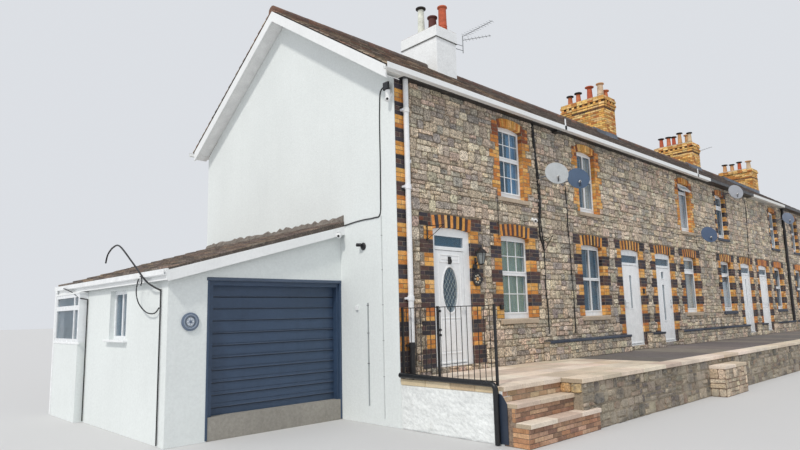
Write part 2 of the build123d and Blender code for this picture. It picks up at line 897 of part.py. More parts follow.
with BuildPart() as garage_side_wall:
    top_out = garage_roof_z(garage_left) - garage_roof_t
    top_in = garage_roof_z(garage_left + garage_wall_t) - garage_roof_t
    with BuildSketch(Plane.XZ.offset(-(garage_front_y + garage_wall_t))):
        Polygon(
            (garage_left, 0),
            (garage_left + garage_wall_t, 0),
            (garage_left + garage_wall_t, top_in),
            (garage_left, top_out),
            align=None,
        )
    extrude(amount=-(row_depth - garage_front_y - 2 * garage_wall_t))
    block(
        garage_left - 1, garage_left + garage_wall_t + 1,
        side_window_y - side_window_w / 2, side_window_y + side_window_w / 2,
        sill_level + side_window_sill, sill_level + side_window_head, Mode.SUBTRACT,
    )
    block(
        garage_left - 1, garage_left + garage_wall_t + 1, bay_y - bay_w / 2, bay_y + bay_w / 2,
        sill_level + bay_sill, sill_level + bay_head, Mode.SUBTRACT,
    )
    block(
        garage_left - bay_projection, garage_left, bay_y - bay_w / 2, bay_y + bay_w / 2,
        0, sill_level + bay_sill,
    )
save(garage_side_wall.part, "garage_side_wall")

with BuildPart() as garage_roof:
    low_x = garage_left - garage_roof_side_out
    with BuildSketch(Plane.XZ.offset(-(garage_front_y - garage_roof_front_out))):
        Polygon(
            (low_x, garage_roof_z(low_x)),
            (0, garage_roof_z(0)),
            (0, garage_roof_z(0) - garage_roof_t),
            (low_x, garage_roof_z(low_x) - garage_roof_t),
            align=None,
        )
    extrude(amount=-(row_depth - garage_front_y + garage_roof_front_out))
save(garage_roof.part, "garage_roof")

with BuildPart() as garage_fascias:
    low_x = garage_left - garage_roof_side_out
    with BuildSketch(Plane.XZ.offset(-(garage_front_y - garage_roof_front_out - fascia_t))):
        Polygon(
            (low_x, garage_roof_z(low_x) - garage_fascia_low[0]),
            (0, garage_roof_z(0) - garage_fascia_high[0]),
            (0, garage_roof_z(0) - garage_fascia_high[1]),
            (low_x, garage_roof_z(low_x) - garage_fascia_low[1]),
            align=None,
        )
    extrude(amount=-fascia_t)
    block(
        low_x - fascia_t, low_x, garage_front_y - garage_roof_front_out - fascia_t, row_depth,
        garage_roof_z(low_x) - 180, garage_roof_z(low_x) - 10,
    )
    block(
        garage_left - bay_projection - 10, garage_left, bay_y - bay_w / 2 - 10, bay_y + bay_w / 2 + 10,
        sill_level + bay_head, sill_level + bay_head + bay_top_board_t,
    )
save(garage_fascias.part, "garage_fascias")

frame_y = garage_front_y + 40
with BuildPart() as garage_door_frame:
    block(
        door_left, 0, frame_y, frame_y + garage_frame_depth, garage_floor_z, garage_head_z
    )
    block(
        door_left + garage_frame_face, -garage_frame_face, frame_y, frame_y + garage_frame_depth,
        garage_floor_z, garage_head_z - garage_frame_face, Mode.SUBTRACT,
    )
save(garage_door_frame.part, "garage_door_frame")

# Sectional door: narrow panels with a groove between them, counted down from the frame's head
with BuildPart() as garage_door:
    door_top = garage_head_z - garage_frame_face
    leaf_y = frame_y + garage_leaf_set_back
    leaf_left, leaf_right = door_left + garage_frame_face, -garage_frame_face
    block(leaf_left, leaf_right, leaf_y, leaf_y + garage_leaf_t, garage_floor_z, door_top)
    groove_count = int((door_top - garage_floor_z) / garage_panel_height)
    with Locations(*[
        (door_left / 2, leaf_y, door_top - garage_panel_height * (k + 1)) for k in range(groove_count)
    ]):
        Box(garage_door_left, 16, 14, mode=Mode.SUBTRACT)
save(garage_door.part, "garage_door")


def side_lights(y, width, foot, head, shares, transom):
    """The openings of a window that faces sideways, as (y0, y1, z0, z1). Shares are its lights' widths."""
    clear = width - 2 * frame_face - (len(shares) - 1) * bar_face
    rows = [(foot + frame_face, head - frame_face)]
    if transom:
        rows = [(foot + frame_face, transom[0]), (transom[1], head - frame_face)]
    openings = []
    start = y - width / 2 + frame_face
    for share in shares:
        for low, high in rows:
            openings.append((start, start + clear * share, low, high))
        start += clear * share + bar_face
    return openings


def side_frame(x0, y, width, foot, head, shares, transom=None):
    """A window frame facing sideways, with bars between its lights."""
    block(x0, x0 + frame_depth, y - width / 2, y + width / 2, foot, head)
    for y0, y1, z0, z1 in side_lights(y, width, foot, head, shares, transom):
        block(x0 - 1, x0 + frame_depth + 1, y0, y1, z0, z1, Mode.SUBTRACT)


def side_glass(x0, y, width, foot, head, shares, transom=None):
    """The panes of a window that faces sideways."""
    pane_x = x0 + (frame_depth - glass_t) / 2
    for y0, y1, z0, z1 in side_lights(y, width, foot, head, shares, transom):
        block(pane_x, pane_x + glass_t, y0, y1, z0, z1)


side_foot = sill_level + side_window_sill
side_head = sill_level + side_window_head
side_x = garage_left + side_window_set_back
bay_x = garage_left - bay_projection
bay_foot = sill_level + bay_sill
bay_top = sill_level + bay_head
bay_bar = [sill_level + z for z in bay_transom]
with BuildPart() as lean_to_window_frames:
    side_frame(side_x, side_window_y, side_window_w, side_foot, side_head, [0.5, 0.5])
    side_frame(bay_x, bay_y, bay_w, bay_foot, bay_top, bay_lights, bay_bar)
    for side in (-1, 1):
        outer = bay_y + side * bay_w / 2
        inner = outer - side * frame_face
        block(bay_x + frame_depth, garage_left, min(outer, inner), max(outer, inner), bay_foot, bay_top)
save(lean_to_window_frames.part, "lean_to_window_frames")

with BuildPart() as lean_to_glass:
    side_glass(side_x, side_window_y, side_window_w, side_foot, side_head, [0.5, 0.5])
    side_glass(bay_x, bay_y, bay_w, bay_foot, bay_top, bay_lights, bay_bar)
save(lean_to_glass.part, "lean_to_glass")

# Terrace: the mass of masonry in front of the row, its flags, the painted end wall and the steps
with BuildPart() as terrace_body:
    with BuildSketch(Plane.XY):
        Polygon(
            (terrace_wall_t, 0),
            (terrace_wall_t, landing_front_y),
            (landing_length, landing_front_y),
            (landing_length, terrace_front_y),
            (row_length, terrace_front_y),
            (row_length, 0),
            align=None,
        )
    extrude(amount=terrace_top - flag_t)
save(terrace_body.part, "terrace_body")

with BuildPart() as terrace_flags:
    with BuildSketch(Plane.XY.offset(terrace_top - flag_t)):
        Polygon(
            (0, 0),
            (0, landing_front_y - flag_overhang),
            (landing_length - flag_overhang, landing_front_y - flag_overhang),
            (landing_length - flag_overhang, terrace_front_y - flag_overhang),
            (row_length, terrace_front_y - flag_overhang),
            (row_length, 0),
            align=None,
        )
    extrude(amount=flag_t)
save(terrace_flags.part, "terrace_flags")

with BuildPart() as terrace_end_wall:
    block(0, terrace_wall_t, landing_front_y, 0, 0, terrace_top - flag_t)
save(terrace_end_wall.part, "terrace_end_wall")

lower_step_y = landing_front_y - 2 * step_going
upper_step_y = landing_front_y - step_going
with BuildPart() as step_blocks:
    block(0, landing_length, upper_step_y, landing_front_y, 0, upper_step_level - step_tread_t)
    block(0, landing_length, lower_step_y, upper_step_y, 0, lower_step_level - step_tread_t)
    block(
        landing_length, lower_step_length, lower_step_y, terrace_front_y, 0, lower_step_level - step_tread_t
    )
    block(
        far_step_x, far_step_x + far_step_length, terrace_front_y - far_step_out, terrace_front_y,
        0, far_step_level,
    )
save(step_blocks.part, "step_blocks")

with BuildPart() as step_treads:
    block(
        0, landing_length, upper_step_y - flag_overhang, landing_front_y,
        upper_step_level - step_tread_t, upper_step_level,
    )
    block(
        0, lower_step_length, lower_step_y - flag_overhang, upper_step_y,
        lower_step_level - step_tread_t, lower_step_level,
    )
    block(
        landing_length, lower_step_length + 1, terrace_front_y, upper_step_y,
        lower_step_level - step_tread_t, lower_step_level, Mode.SUBTRACT,
    )
save(step_treads.part, "step_treads")

# Iron railing across the near end of the landing
rail_x = 30
rail_length = -landing_front_y - 110
with BuildPart() as railing:
    start_y = -30
    end_y = start_y - rail_length
    top = terrace_top + rail_height
    block(rail_x - rail_strip_w / 2, rail_x + rail_strip_w / 2, end_y, start_y, top - rail_strip_t, top)
    foot = terrace_top + 60
    block(rail_x - rail_strip_w / 2, rail_x + rail_strip_w / 2, end_y, start_y, foot, foot + rail_strip_t)
    bar_count = round(rail_length / rail_spacing)
    for k in range(1, bar_count):
        y = start_y - rail_length * k / bar_count
        with Locations((rail_x, y, (foot + top) / 2)):
            Cylinder(rail_bar / 2, top - foot - rail_strip_t)
    for y in (end_y + rail_post / 2, start_y - 0.42 * rail_length, start_y - rail_post / 2):
        block(
            rail_x - rail_post / 2, rail_x + rail_post / 2, y - rail_post / 2, y + rail_post / 2,
            terrace_top, top + 10,
        )
save(railing.part, "railing")

# Drainpipe along the foot of the railing and down the corner of the terrace
with BuildPart() as drain_pipe:
    drain_x = -drain_d / 2 - 10
    drain_z = terrace_top + drain_d / 2 + 25
    corner_y = drain_corner_y
    with BuildLine():
        FilletPolyline(
            (drain_x, -40, drain_z), (drain_x, corner_y, drain_z - drain_fall), (drain_x, corner_y, 10),
            radius=drain_d,
        )
    with BuildSketch(Plane.XZ.offset(40)):
        with Locations((drain_x, drain_z)):
            Circle(drain_d / 2)
    sweep()
    for y in (-300, -1750):
        strap_z = drain_z + drain_fall * (y + 40) / (-40 - corner_y)
        block(-15, 0, y - 15, y + 15, terrace_top - flag_t + 10, strap_z + 15)
save(drain_pipe.part, "drain_pipe")

# Dishes on the front wall, as (x, height over the door sill, reach): each a shallow round bowl
# on a short arm and a wall plate
dish_places = [
    (4450, 3890, 400), (5350, 3900, 400), (13100, 3180, 400), (15880, 4880, 440), (22250, 4540, 400),
]
with BuildPart() as dish_bowl:
    bowl_line = [(dish_r * k / 5, dish_depth * (k / 5) ** 2) for k in range(6)]
    with BuildSketch(Plane.XZ):
        Polygon(*bowl_line, *[(r, z + dish_t) for r, z in reversed(bowl_line)], align=None)
    revolve(axis=Axis.Z)

with BuildPart() as satellite_dishes:
    for x, z, reach in dish_places:
        face = Plane(origin=(x, -reach, sill_level + z), z_dir=(-0.62, -0.75, 0.25))
        with Locations(face.location):
            add(dish_bowl.part)
        block(x - 18, x + 18, -reach, 0, sill_level + z - 18, sill_level + z + 18)
        block(x - 60, x + 60, -12, 0, sill_level + z - 80, sill_level + z + 80)
save(satellite_dishes.part, "satellite_dishes")

# Wall lantern beside the first door
with BuildPart() as wall_lantern:
    lantern_x = 2040
    lantern_z = sill_level + 1880
    block(lantern_x - 35, lantern_x + 35, -15, 0, lantern_z - 60, lantern_z + 120)
    block(lantern_x - 12, lantern_x + 12, -160, 0, lantern_z + 60, lantern_z + 84)
    with BuildSketch(Plane.XY.offset(lantern_z)):
        with Locations((lantern_x, -150)):
            RegularPolygon(55, 6)
    with BuildSketch(Plane.XY.offset(lantern_z + 230)):
        with Locations((lantern_x, -150)):
            RegularPolygon(95, 6)
    loft()
    with BuildSketch(Plane.XY.offset(lantern_z + 230)):
        with Locations((lantern_x, -150)):
            RegularPolygon(115, 6)
    extrude(amount=110, taper=42)
save(wall_lantern.part, "wall_lantern")
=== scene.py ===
import math
import random
from fnmatch import fnmatch

import bpy
from mathutils import Matrix, Vector, noise


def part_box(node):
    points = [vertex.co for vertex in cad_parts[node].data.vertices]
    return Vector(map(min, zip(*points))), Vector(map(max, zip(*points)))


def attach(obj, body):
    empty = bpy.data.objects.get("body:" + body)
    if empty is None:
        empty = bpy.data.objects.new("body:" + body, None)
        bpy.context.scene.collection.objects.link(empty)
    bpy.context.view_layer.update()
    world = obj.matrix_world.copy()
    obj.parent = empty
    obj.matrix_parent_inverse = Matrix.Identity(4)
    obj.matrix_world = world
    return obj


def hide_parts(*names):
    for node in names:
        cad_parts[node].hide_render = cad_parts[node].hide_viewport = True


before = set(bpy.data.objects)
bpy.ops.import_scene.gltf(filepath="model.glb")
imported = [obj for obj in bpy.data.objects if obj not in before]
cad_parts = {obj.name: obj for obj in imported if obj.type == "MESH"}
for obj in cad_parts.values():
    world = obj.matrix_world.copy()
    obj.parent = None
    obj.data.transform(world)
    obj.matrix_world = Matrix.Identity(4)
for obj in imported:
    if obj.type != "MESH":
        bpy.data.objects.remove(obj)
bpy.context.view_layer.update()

# places, in metres, from the model's sizes
T = 0.9  # door sill level
LENGTH, DEPTH = 27.87, 6.96
DOORS = [1.4, 8.51, 10.53, 17.61, 19.63, 26.71]
WINDOWS = [3.38, 6.5, 12.48, 15.6, 21.58, 24.7]
DOOR_W, LOW_W, HIGH_W = 1.04, 0.98, 0.83
LOW_SILL, HIGH_SILL = T + 0.8, T + 3.29
SPRING, RISE, RING = T + 2.46, 0.04, 0.24
UP_SPRING, UP_RISE, UP_RING = T + 4.77, 0.06, 0.17
SOFFIT, TERRACE = T + 5.08, T - 0.11
PALE_FLAGS_TO, NEAR_STEPS_TO, WALL_FACE = 5.1, 1.5, -2.42
LEAN_X, LEAN_FRONT, LEAN_EAVES, LEAN_TOP = -3.33, 1.43, 1.7, 2.68
RIDGE_Y, RIDGE_Z, EAVES_Y = 3.48, T + 7.61, 0.215
PITCH = math.radians(33.53)
SLOPE, COS, SIN = math.tan(PITCH), math.cos(PITCH), math.sin(PITCH)
# each stack: left, right, front, back, top
STACKS = [(4.496, 5.293, 3.025, 4.335, T + 8.67), (13.66, 14.49, 3.02, 4.78, T + 8.9),
          (22.29, 23.21, 3.17, 4.91, T + 8.7), (26.98, 27.85, 2.07, 3.61, T + 7.92)]
# each house's windows: transom height over the sill, its face and the number of uprights
LOW_LIGHTS = [(0.92, 0.095, 0), (0.875, 0.07, 1), (1.25, 0.15, 0), (1.22, 0.13, 0), (0.876, 0.09, 0),
              (0.85, 0.09, 0)]
HIGH_LIGHTS = [(0.84, 0.095, 0), (0.83, 0.08, 1), (1.24, 0.11, 0), (1.09, 0.15, 0), (0.836, 0.09, 0),
               (0.836, 0.09, 0)]
UP, OUT = (0, 0, 1), (0, -1, 0)
rng = random.Random()  # seeded anew for each part of the row


def roof_z(y):
    return RIDGE_Z - SLOPE * abs(y - RIDGE_Y)


# small mesh builder
BOX_FACES = ((0, 1, 3, 2), (4, 6, 7, 5), (0, 4, 5, 1), (2, 3, 7, 6), (0, 2, 6, 4), (1, 5, 7, 3))


def band(rings, sides, closed=False):
    """The faces between rings of points; closed joins the last ring to the first too."""
    return [(r * sides + k, r * sides + (k + 1) % sides, (r + 1) % rings * sides + (k + 1) % sides,
             (r + 1) % rings * sides + k) for r in range(rings - (not closed)) for k in range(sides)]


def sheet_faces(columns, rows):
    """The faces of two grids of points, back to back, closed round their edge."""
    line, n, f = columns + 1, (columns + 1) * (rows + 1), []
    for a in (j * line + i for j in range(rows) for i in range(columns)):
        f += [(a, a + 1, a + line + 1, a + line), (n + a, n + a + line, n + a + line + 1, n + a + 1)]
    edge = [*range(line)] + [j * line + columns for j in range(1, rows + 1)]
    edge += [rows * line + i for i in range(columns - 1, -1, -1)] + [j * line for j in range(rows - 1, 0, -1)]
    return f + [(a, n + a, n + b, b) for a, b in zip(edge, edge[1:] + edge[:1])]


class Piece:
    """Collects faces with a tone each, then makes one object of them; lift is added to every height."""

    def __init__(self, lift=0.0):
        self.lift, self.verts, self.faces, self.tones, self.mats = lift, [], [], [], []

    def add(self, verts, faces, tone=(1, 1, 1), mat=0):
        base = len(self.verts)
        self.verts += [(x, y, z + self.lift) for x, y, z in verts]
        self.faces += [[base + i for i in f] for f in faces]
        self.tones += [tone] * len(faces)
        self.mats += [mat] * len(faces)

    def box(self, a, b, tone=(1, 1, 1), chamfer=0.0, mat=0):
        """A box between two corners; a chamfer rounds all its edges a little."""
        if chamfer <= 0:
            self.add([(x, y, z) for x in (a[0], b[0]) for y in (a[1], b[1]) for z in (a[2], b[2])], BOX_FACES,
                     tone, mat)
            return
        c = min(chamfer, *((q - p) / 2.2 for p, q in zip(a, b)))
        v, f = [], [tuple(3 * i + n // 2 for i in face) for n, face in enumerate(BOX_FACES)]
        for i in range(8):
            far = i >> 2 & 1, i >> 1 & 1, i & 1
            for axis in range(3):
                v.append(tuple((b if far[k] else a)[k] if k == axis else b[k] - c if far[k] else a[k] + c
                               for k in range(3)))
            f.append((3 * i, 3 * i + 1, 3 * i + 2))
            for axis in range(3):
                if not i & (4 >> axis):
                    j = i | (4 >> axis)
                    p, q = [k for k in range(3) if k != axis]
                    f.append((3 * i + p, 3 * j + p, 3 * j + q, 3 * i + q))
        self.add(v, f, tone, mat)

    def loft(self, low, high, tone=(1, 1, 1), mat=0):
        """Two outlines of as many points, joined and closed."""
        n = len(low)
        self.add([*low, *high], [tuple(range(n))[::-1], tuple(range(n, 2 * n))] + band(2, n), tone, mat)

    def prism(self, outline, a, b, tone=(1, 1, 1), mat=0):
        """A flat outline carried from one place to the other: a and b shift its points."""
        self.loft(*([tuple(p[k] + s[k] for k in range(3)) for p in outline] for s in (a, b)), tone, mat)

    def tube(self, path, radius, sides, tone):
        """A round bar along straight runs between points."""
        points = [Vector(p) for p in path]
        v = []
        for i, p in enumerate(points):
            before = (p - points[i - 1]).normalized() if i else (points[1] - p).normalized()
            after = (points[i + 1] - p).normalized() if i + 1 < len(points) else before
            way = (before + after).normalized()
            side = way.cross(Vector(UP))
            if side.length < 0.3:
                side = way.cross(Vector((1, 0, 0)))
            side.normalize()
            other = way.cross(side)
            v += [p + (side * math.cos(a) + other * math.sin(a)) * radius for a in turns(sides)]
        self.skin(v, len(points), sides, tone)

    def bent(self, points, radius, sides, tone, steps=6):
        """A round bar along a smooth curve through the points."""
        p = [Vector(q) for q in (points[0], *points, points[-1])]
        path = [points[0]]
        for a, b, c, d in zip(p, p[1:], p[2:], p[3:]):
            for t in (k / steps for k in range(1, steps + 1)):
                path.append((2 * b + (c - a) * t + (2 * a - 5 * b + 4 * c - d) * t * t
                             + (3 * b - a - 3 * c + d) * t ** 3) / 2)
        self.tube(path, radius, sides, tone)

    def lathe(self, centre, profile, sides, tone, axis=UP):
        """A turned form: profile is (radius, distance along the axis) pairs."""
        way = Vector(axis).normalized()
        side = way.orthogonal().normalized()
        other = way.cross(side)
        self.skin([Vector(centre) + way * h + (side * math.cos(a) + other * math.sin(a)) * r
                   for r, h in profile for a in turns(sides)], len(profile), sides, tone)

    def skin(self, v, rings, sides, tone, mat=0):
        """Rings of points, joined and closed at both ends."""
        ends = [tuple(range(sides))[::-1], tuple((rings - 1) * sides + k for k in range(sides))]
        self.add(v, band(rings, sides) + ends, tone, mat)

    def rim(self, x0, x1, z0, z1, w, y0, y1, tone, chamfer=0.004):
        """A rectangular frame outside the given edges, from depth y0 to y1."""
        for a, b, c, d in ((x0 - w, x0, z0 - w, z1 + w), (x1, x1 + w, z0 - w, z1 + w),
                           (x0, x1, z0 - w, z0), (x0, x1, z1, z1 + w)):
            self.box((a, y0, c), (b, y1, d), tone, chamfer)

    def make(self, name, slot, *materials, body="row", smooth=False, replaces=()):
        """One object of all the faces, on its CAD body; the slot is not used."""
        mesh = bpy.data.meshes.new(name)
        mesh.from_pydata(self.verts, [], self.faces)
        for m in materials:
            mesh.materials.append(m)
        mesh.polygons.foreach_set("material_index", self.mats)
        mesh.polygons.foreach_set("use_smooth", [smooth] * len(self.faces))
        data = []
        for f, t in zip(self.faces, self.tones):
            data.extend((*t, 1.0) * len(f))
        mesh.color_attributes.new("tone", "FLOAT_COLOR", "CORNER").data.foreach_set("color", data)
        mesh.update()
        if smooth:
            mesh.set_sharp_from_angle(angle=math.radians(40))
        obj = bpy.data.objects.new(name, mesh)
        bpy.context.scene.collection.objects.link(obj)
        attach(obj, body)
        if replaces:
            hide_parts(*replaces)
        return obj


def turns(count):
    """Angles all the way round."""
    return [2 * math.pi * k / count for k in range(count)]


def srgb(r, g, b):
    """A plain 0-255 colour as the linear values that a shader takes."""
    return tuple(((c / 255 + 0.055) / 1.055) ** 2.4 for c in (r, g, b))


def shades(*colours):
    return [srgb(*c) for c in colours]


def vary(colour, spread=0.08, tint=0.03):
    """A colour with a little difference in lightness and hue."""
    k = 1 + rng.uniform(-spread, spread)
    return tuple(max(0.0, c * k * (1 + rng.uniform(-tint, tint))) for c in colour)


def pick(colours, spread=0.08, tint=0.03):
    """One of the colours, varied."""
    return vary(rng.choice(colours), spread, tint)


# materials
START_X, END_X = -4.0, 32.0  # the range over which a colour can change from house to house


def material(name, colour, rough, mottle, fine, bump=(0.4, 60, 0.004), patches=(), streaks=0.0, by_x=(),
             metallic=0.0, coat=0.0, alpha=1.0):
    """A surface with two sizes of colour noise (scale, amount) and a bump of its own grain (strength, scale,
    size). With no colour, each face brings its own. Patches of other colours are (colour, scale, start, full,
    most). Streaks are from rain, and by_x changes the colour from house to house."""
    m = bpy.data.materials.new(name)
    m.use_nodes = True
    nodes, links = m.node_tree.nodes, m.node_tree.links
    shader = nodes["Principled BSDF"]
    for key, value in (("Metallic", metallic), ("Coat Weight", coat), ("Coat Roughness", 0.05),
                       ("Alpha", alpha)):
        shader.inputs[key].default_value = value
    place = nodes.new("ShaderNodeTexCoord").outputs["Object"]

    def node(kind, source, socket, **values):
        n = nodes.new("ShaderNode" + kind)
        for key, value in values.items():
            n.inputs[key.replace("_", " ")].default_value = value
        links.new(source, n.inputs[socket])
        return n

    def clouds(scale, detail=4.0, roughness=0.6, source=place):
        return node("TexNoise", source, "Vector", Scale=scale, Detail=detail,
                    Roughness=roughness).outputs["Fac"]

    def ramp(fac, low, high, a=0.3, b=0.7):
        return node("MapRange", fac, "Value", From_Min=a, From_Max=b, To_Min=low, To_Max=high).outputs[0]

    def mix(kind, fac, a, b):
        n = nodes.new("ShaderNodeMix")
        n.data_type, n.blend_type, n.clamp_result = "RGBA", kind, False
        for socket, value in ((n.inputs[0], fac), (n.inputs[6], a), (n.inputs[7], b)):
            if isinstance(value, (tuple, float)):
                socket.default_value = (*value, 1) if isinstance(value, tuple) else value
            else:
                links.new(value, socket)
        return n.outputs[2]

    if not colour:
        attribute = nodes.new("ShaderNodeAttribute")
        attribute.attribute_name = "tone"
        base = attribute.outputs["Color"]
    elif by_x:
        x = node("SeparateXYZ", place, 0).outputs[0]
        table = node("ValToRGB", ramp(x, 0.0, 1.0, START_X, END_X), 0)
        table.color_ramp.interpolation = "CONSTANT"
        elements = table.color_ramp.elements
        while len(elements) < len(by_x) + 1:
            elements.new(0.5)
        for e, (start, c) in zip(elements, [(START_X, colour), *by_x]):
            e.position, e.color = (start - START_X) / (END_X - START_X), (*srgb(*c), 1)
        base = table.outputs[0]
    else:
        base = srgb(*colour)
    for scale, amount in (mottle, fine):
        join = nodes.new("ShaderNodeCombineColor")
        grey = ramp(clouds(scale), 1 - amount, 1 + amount)
        for k in range(3):
            links.new(grey, join.inputs[k])
        base = mix("MULTIPLY", 1.0, base, join.outputs[0])
    for tint, scale, low, high, most in patches:
        base = mix("MIX", ramp(clouds(scale, 6.0, 0.7), 0.0, most, low, high), base, srgb(*tint))
    if streaks:
        stretched = node("Mapping", place, "Vector", Scale=(6.0, 6.0, 0.5)).outputs[0]
        fac = ramp(clouds(1.0, 5.0, 0.6, stretched), 0.0, streaks, 0.5, 0.8)
        base = mix("MIX", fac, base, tuple(c * 0.55 for c in srgb(*colour)))
    links.new(base, shader.inputs["Base Color"])
    strength, scale, size = bump
    grain = ramp(clouds(scale / 3), max(rough - 0.12, 0.03), min(rough + 0.12, 1.0))
    links.new(grain, shader.inputs["Roughness"])
    if strength:
        b = node("Bump", clouds(scale, 6.0, 0.65), "Height", Strength=strength, Distance=size)
        links.new(b.outputs[0], shader.inputs["Normal"])
    return m


stone = material("rubble_stone_face", None, 0.92, (13, 0.4), (42, 0.8), (1.0, 28, 0.04),
                 [((196, 184, 162), 13, 0.54, 0.7, 0.8), ((70, 63, 56), 17, 0.55, 0.7, 0.9)])
mortar = material("lime_mortar", (140, 128, 111), 0.95, (6, 0.35), (40, 0.35), (0.8, 50, 0.01),
                  [((176, 164, 144), 7, 0.54, 0.72, 0.75), ((72, 64, 56), 9, 0.54, 0.72, 0.8)])
stack_mortar = material("stack_mortar", (150, 116, 76), 0.95, (6, 0.3), (40, 0.3), (0.6, 60, 0.004))
pale_mortar = material("smeared_pale_mortar", (158, 146, 128), 0.95, (3, 0.25), (40, 0.3), (0.9, 30, 0.014),
                       [((92, 84, 74), 8, 0.54, 0.74, 0.75)])
brick = material("fired_brick", None, 0.85, (12, 0.22), (90, 0.3), (0.6, 80, 0.005),
                 [((58, 46, 42), 30, 0.6, 0.8, 0.6)])
render = material("pale_rough_render", (229, 234, 233), 0.9, (0.6, 0.03), (25, 0.04), (0.55, 55, 0.008),
                  streaks=0.06)
wall_paint = material("rough_painted_wall", (234, 237, 236), 0.9, (2, 0.06), (20, 0.1), (0.9, 16, 0.012),
                      [((150, 150, 142), 5, 0.6, 0.75, 0.55)])
TILE_LOOK = (0.85, (5, 0.28), (45, 0.4), (0.8, 40, 0.01),
             [((176, 164, 148), 25, 0.56, 0.74, 0.7), ((56, 52, 50), 9, 0.55, 0.78, 0.6)])
tile = material("roof_tile_face", None, *TILE_LOOK)
plain_tile = material("roof_under_tiles", (84, 76, 70), *TILE_LOOK)
upvc = material("white_upvc", (236, 239, 241), 0.25, (0.8, 0.02), (12, 0.015), (0.04, 20, 0.001))
BOARD_LOOK = (0.42, (1, 0.04), (20, 0.03), (0.08, 30, 0.002))
white_paint = material("white_painted_boards", (238, 240, 240), *BOARD_LOOK, streaks=0.1)
BLACK_BOARD_AND_SHADE = (40, 40, 43)
# the eaves boards' black: up to x 5 it is painted shade under the gutter, from x 5 to 18.6 and past 22.5 it
# is the boards' own black paint
eaves_paint_and_shade = material("eaves_paint_and_shade", (232, 232, 228), *BOARD_LOOK,
                       by_x=[(0.0, BLACK_BOARD_AND_SHADE), (18.6, (200, 200, 196)), (22.5, BLACK_BOARD_AND_SHADE)])
gutter_paint = material("gutter_plastic", (238, 240, 240), *BOARD_LOOK,
                        by_x=[(14.05, BLACK_BOARD_AND_SHADE), (18.5, (226, 226, 222)), (22.5, BLACK_BOARD_AND_SHADE)])
# the glass is tinted blue: a painted reflection of the sky
glass = material("window_glass", (92, 138, 168), 0.05, (0.7, 0.25), (3, 0.05), (0.0, 60, 0), coat=1.0,
                 alpha=0.26)
sill_stone = material("dressed_sandstone", (184, 168, 148), 0.9, (3, 0.12), (40, 0.16), (0.6, 60, 0.006),
                      [((120, 110, 98), 7, 0.58, 0.8, 0.7)], by_x=[(14.3, (74, 80, 92))])
FLAG_LOOK = (0.9, (3, 0.14), (50, 0.14), (0.5, 60, 0.005), [((140, 126, 108), 6, 0.58, 0.85, 0.6)])
flag_stone = material("paving_flags", None, *FLAG_LOOK)
plain_flag = material("paving_bed", (176, 160, 138), *FLAG_LOOK, by_x=[(PALE_FLAGS_TO, (96, 90, 86))])
slate_paint = material("slate_blue_paint", (56, 75, 100), 0.42, (1.5, 0.1), (30, 0.06), (0.2, 30, 0.003),
                       streaks=0.25)
black_metal = material("black_ironwork", (26, 26, 28), 0.42, (6, 0.2), (60, 0.2), (0.25, 80, 0.002))
black_plastic = material("black_pipe_plastic", (28, 29, 32), 0.35, (3, 0.15), (30, 0.1), (0.1, 30, 0.002))
painted = material("fixture_paint", None, 0.45, (5, 0.08), (50, 0.08), (0.12, 60, 0.002))
clay = material("fired_clay_pot", None, 0.8, (6, 0.2), (50, 0.2), patches=[((60, 50, 44), 9, 0.6, 0.8, 0.7)])
lead = material("lead_flashing", (112, 120, 132), 0.6, (4, 0.2), (30, 0.12), (0.3, 25, 0.004), metallic=0.2)
cement = material("plain_cement_render", (152, 148, 140), 0.92, (0.8, 0.12), (25, 0.12), (0.6, 40, 0.008),
                  streaks=0.2)
floor_boards = material("inner_floor", (120, 104, 86), 0.8, (2, 0.15), (20, 0.1), (0.2, 20, 0.003))
cloth = material("curtain_cloth", None, 0.95, (3, 0.08), (120, 0.1), (0.3, 400, 0.001))
coping = material("blue_black_coping", None, 0.7, (4, 0.2), (50, 0.15),
                  patches=[((120, 122, 122), 9, 0.62, 0.8, 0.6)])
wall_stone = material("retaining_wall_stone", None, 0.94, (5, 0.3), (40, 0.4), (1.0, 30, 0.02),
                      [((172, 162, 146), 3, 0.44, 0.62, 0.85), ((64, 60, 54), 6, 0.55, 0.75, 0.8)])
rough_core = material("rough_bedding", None, 0.95, (5, 0.3), (40, 0.4), (0.9, 60, 0.012),
                      [((170, 156, 136), 6, 0.52, 0.72, 0.8)])
stack_cement = material("stack_cement", None, 0.9, (6, 0.2), (40, 0.25), (0.9, 60, 0.02),
                        [((84, 78, 70), 7, 0.52, 0.66, 0.8)])
stack_paint = material("stack_masonry_paint", None, 0.85, (3, 0.05), (30, 0.08), (0.7, 22, 0.01),
                       [((150, 152, 150), 6, 0.62, 0.8, 0.4)])

# the CAD nodes that stay, by the patterns of their names
NODE_MATERIALS = {
    mortar: "front_wall_* window_aprons rear_wall low_plinth brick_arches", stack_mortar: "chimney_stacks",
    pale_mortar: "terrace_body", sill_stone: "stone_sills", plain_flag: "terrace_flags step_treads",
    render: "gable_wall garage_*_wall", wall_paint: "terrace_end_wall",
    cement: "party_walls end_wall garage_threshold", floor_boards: "*_floors",
    upvc: "*window_frames door_frame_* back_doors front_door_?", white_paint: "barge_boards garage_fascias",
    eaves_paint_and_shade: "eaves_boards", gutter_paint: "gutters", glass: "*_glass",
    plain_tile: "roof_* ridge_tiles garage_roof", slate_paint: "garage_door*", black_metal: "railing",
    black_plastic: "drain_pipe"}
for mat, words in NODE_MATERIALS.items():
    for name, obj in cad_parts.items():
        if any(fnmatch(name, word) for word in words.split()):
            obj.data.materials.clear()
            obj.data.materials.append(mat)

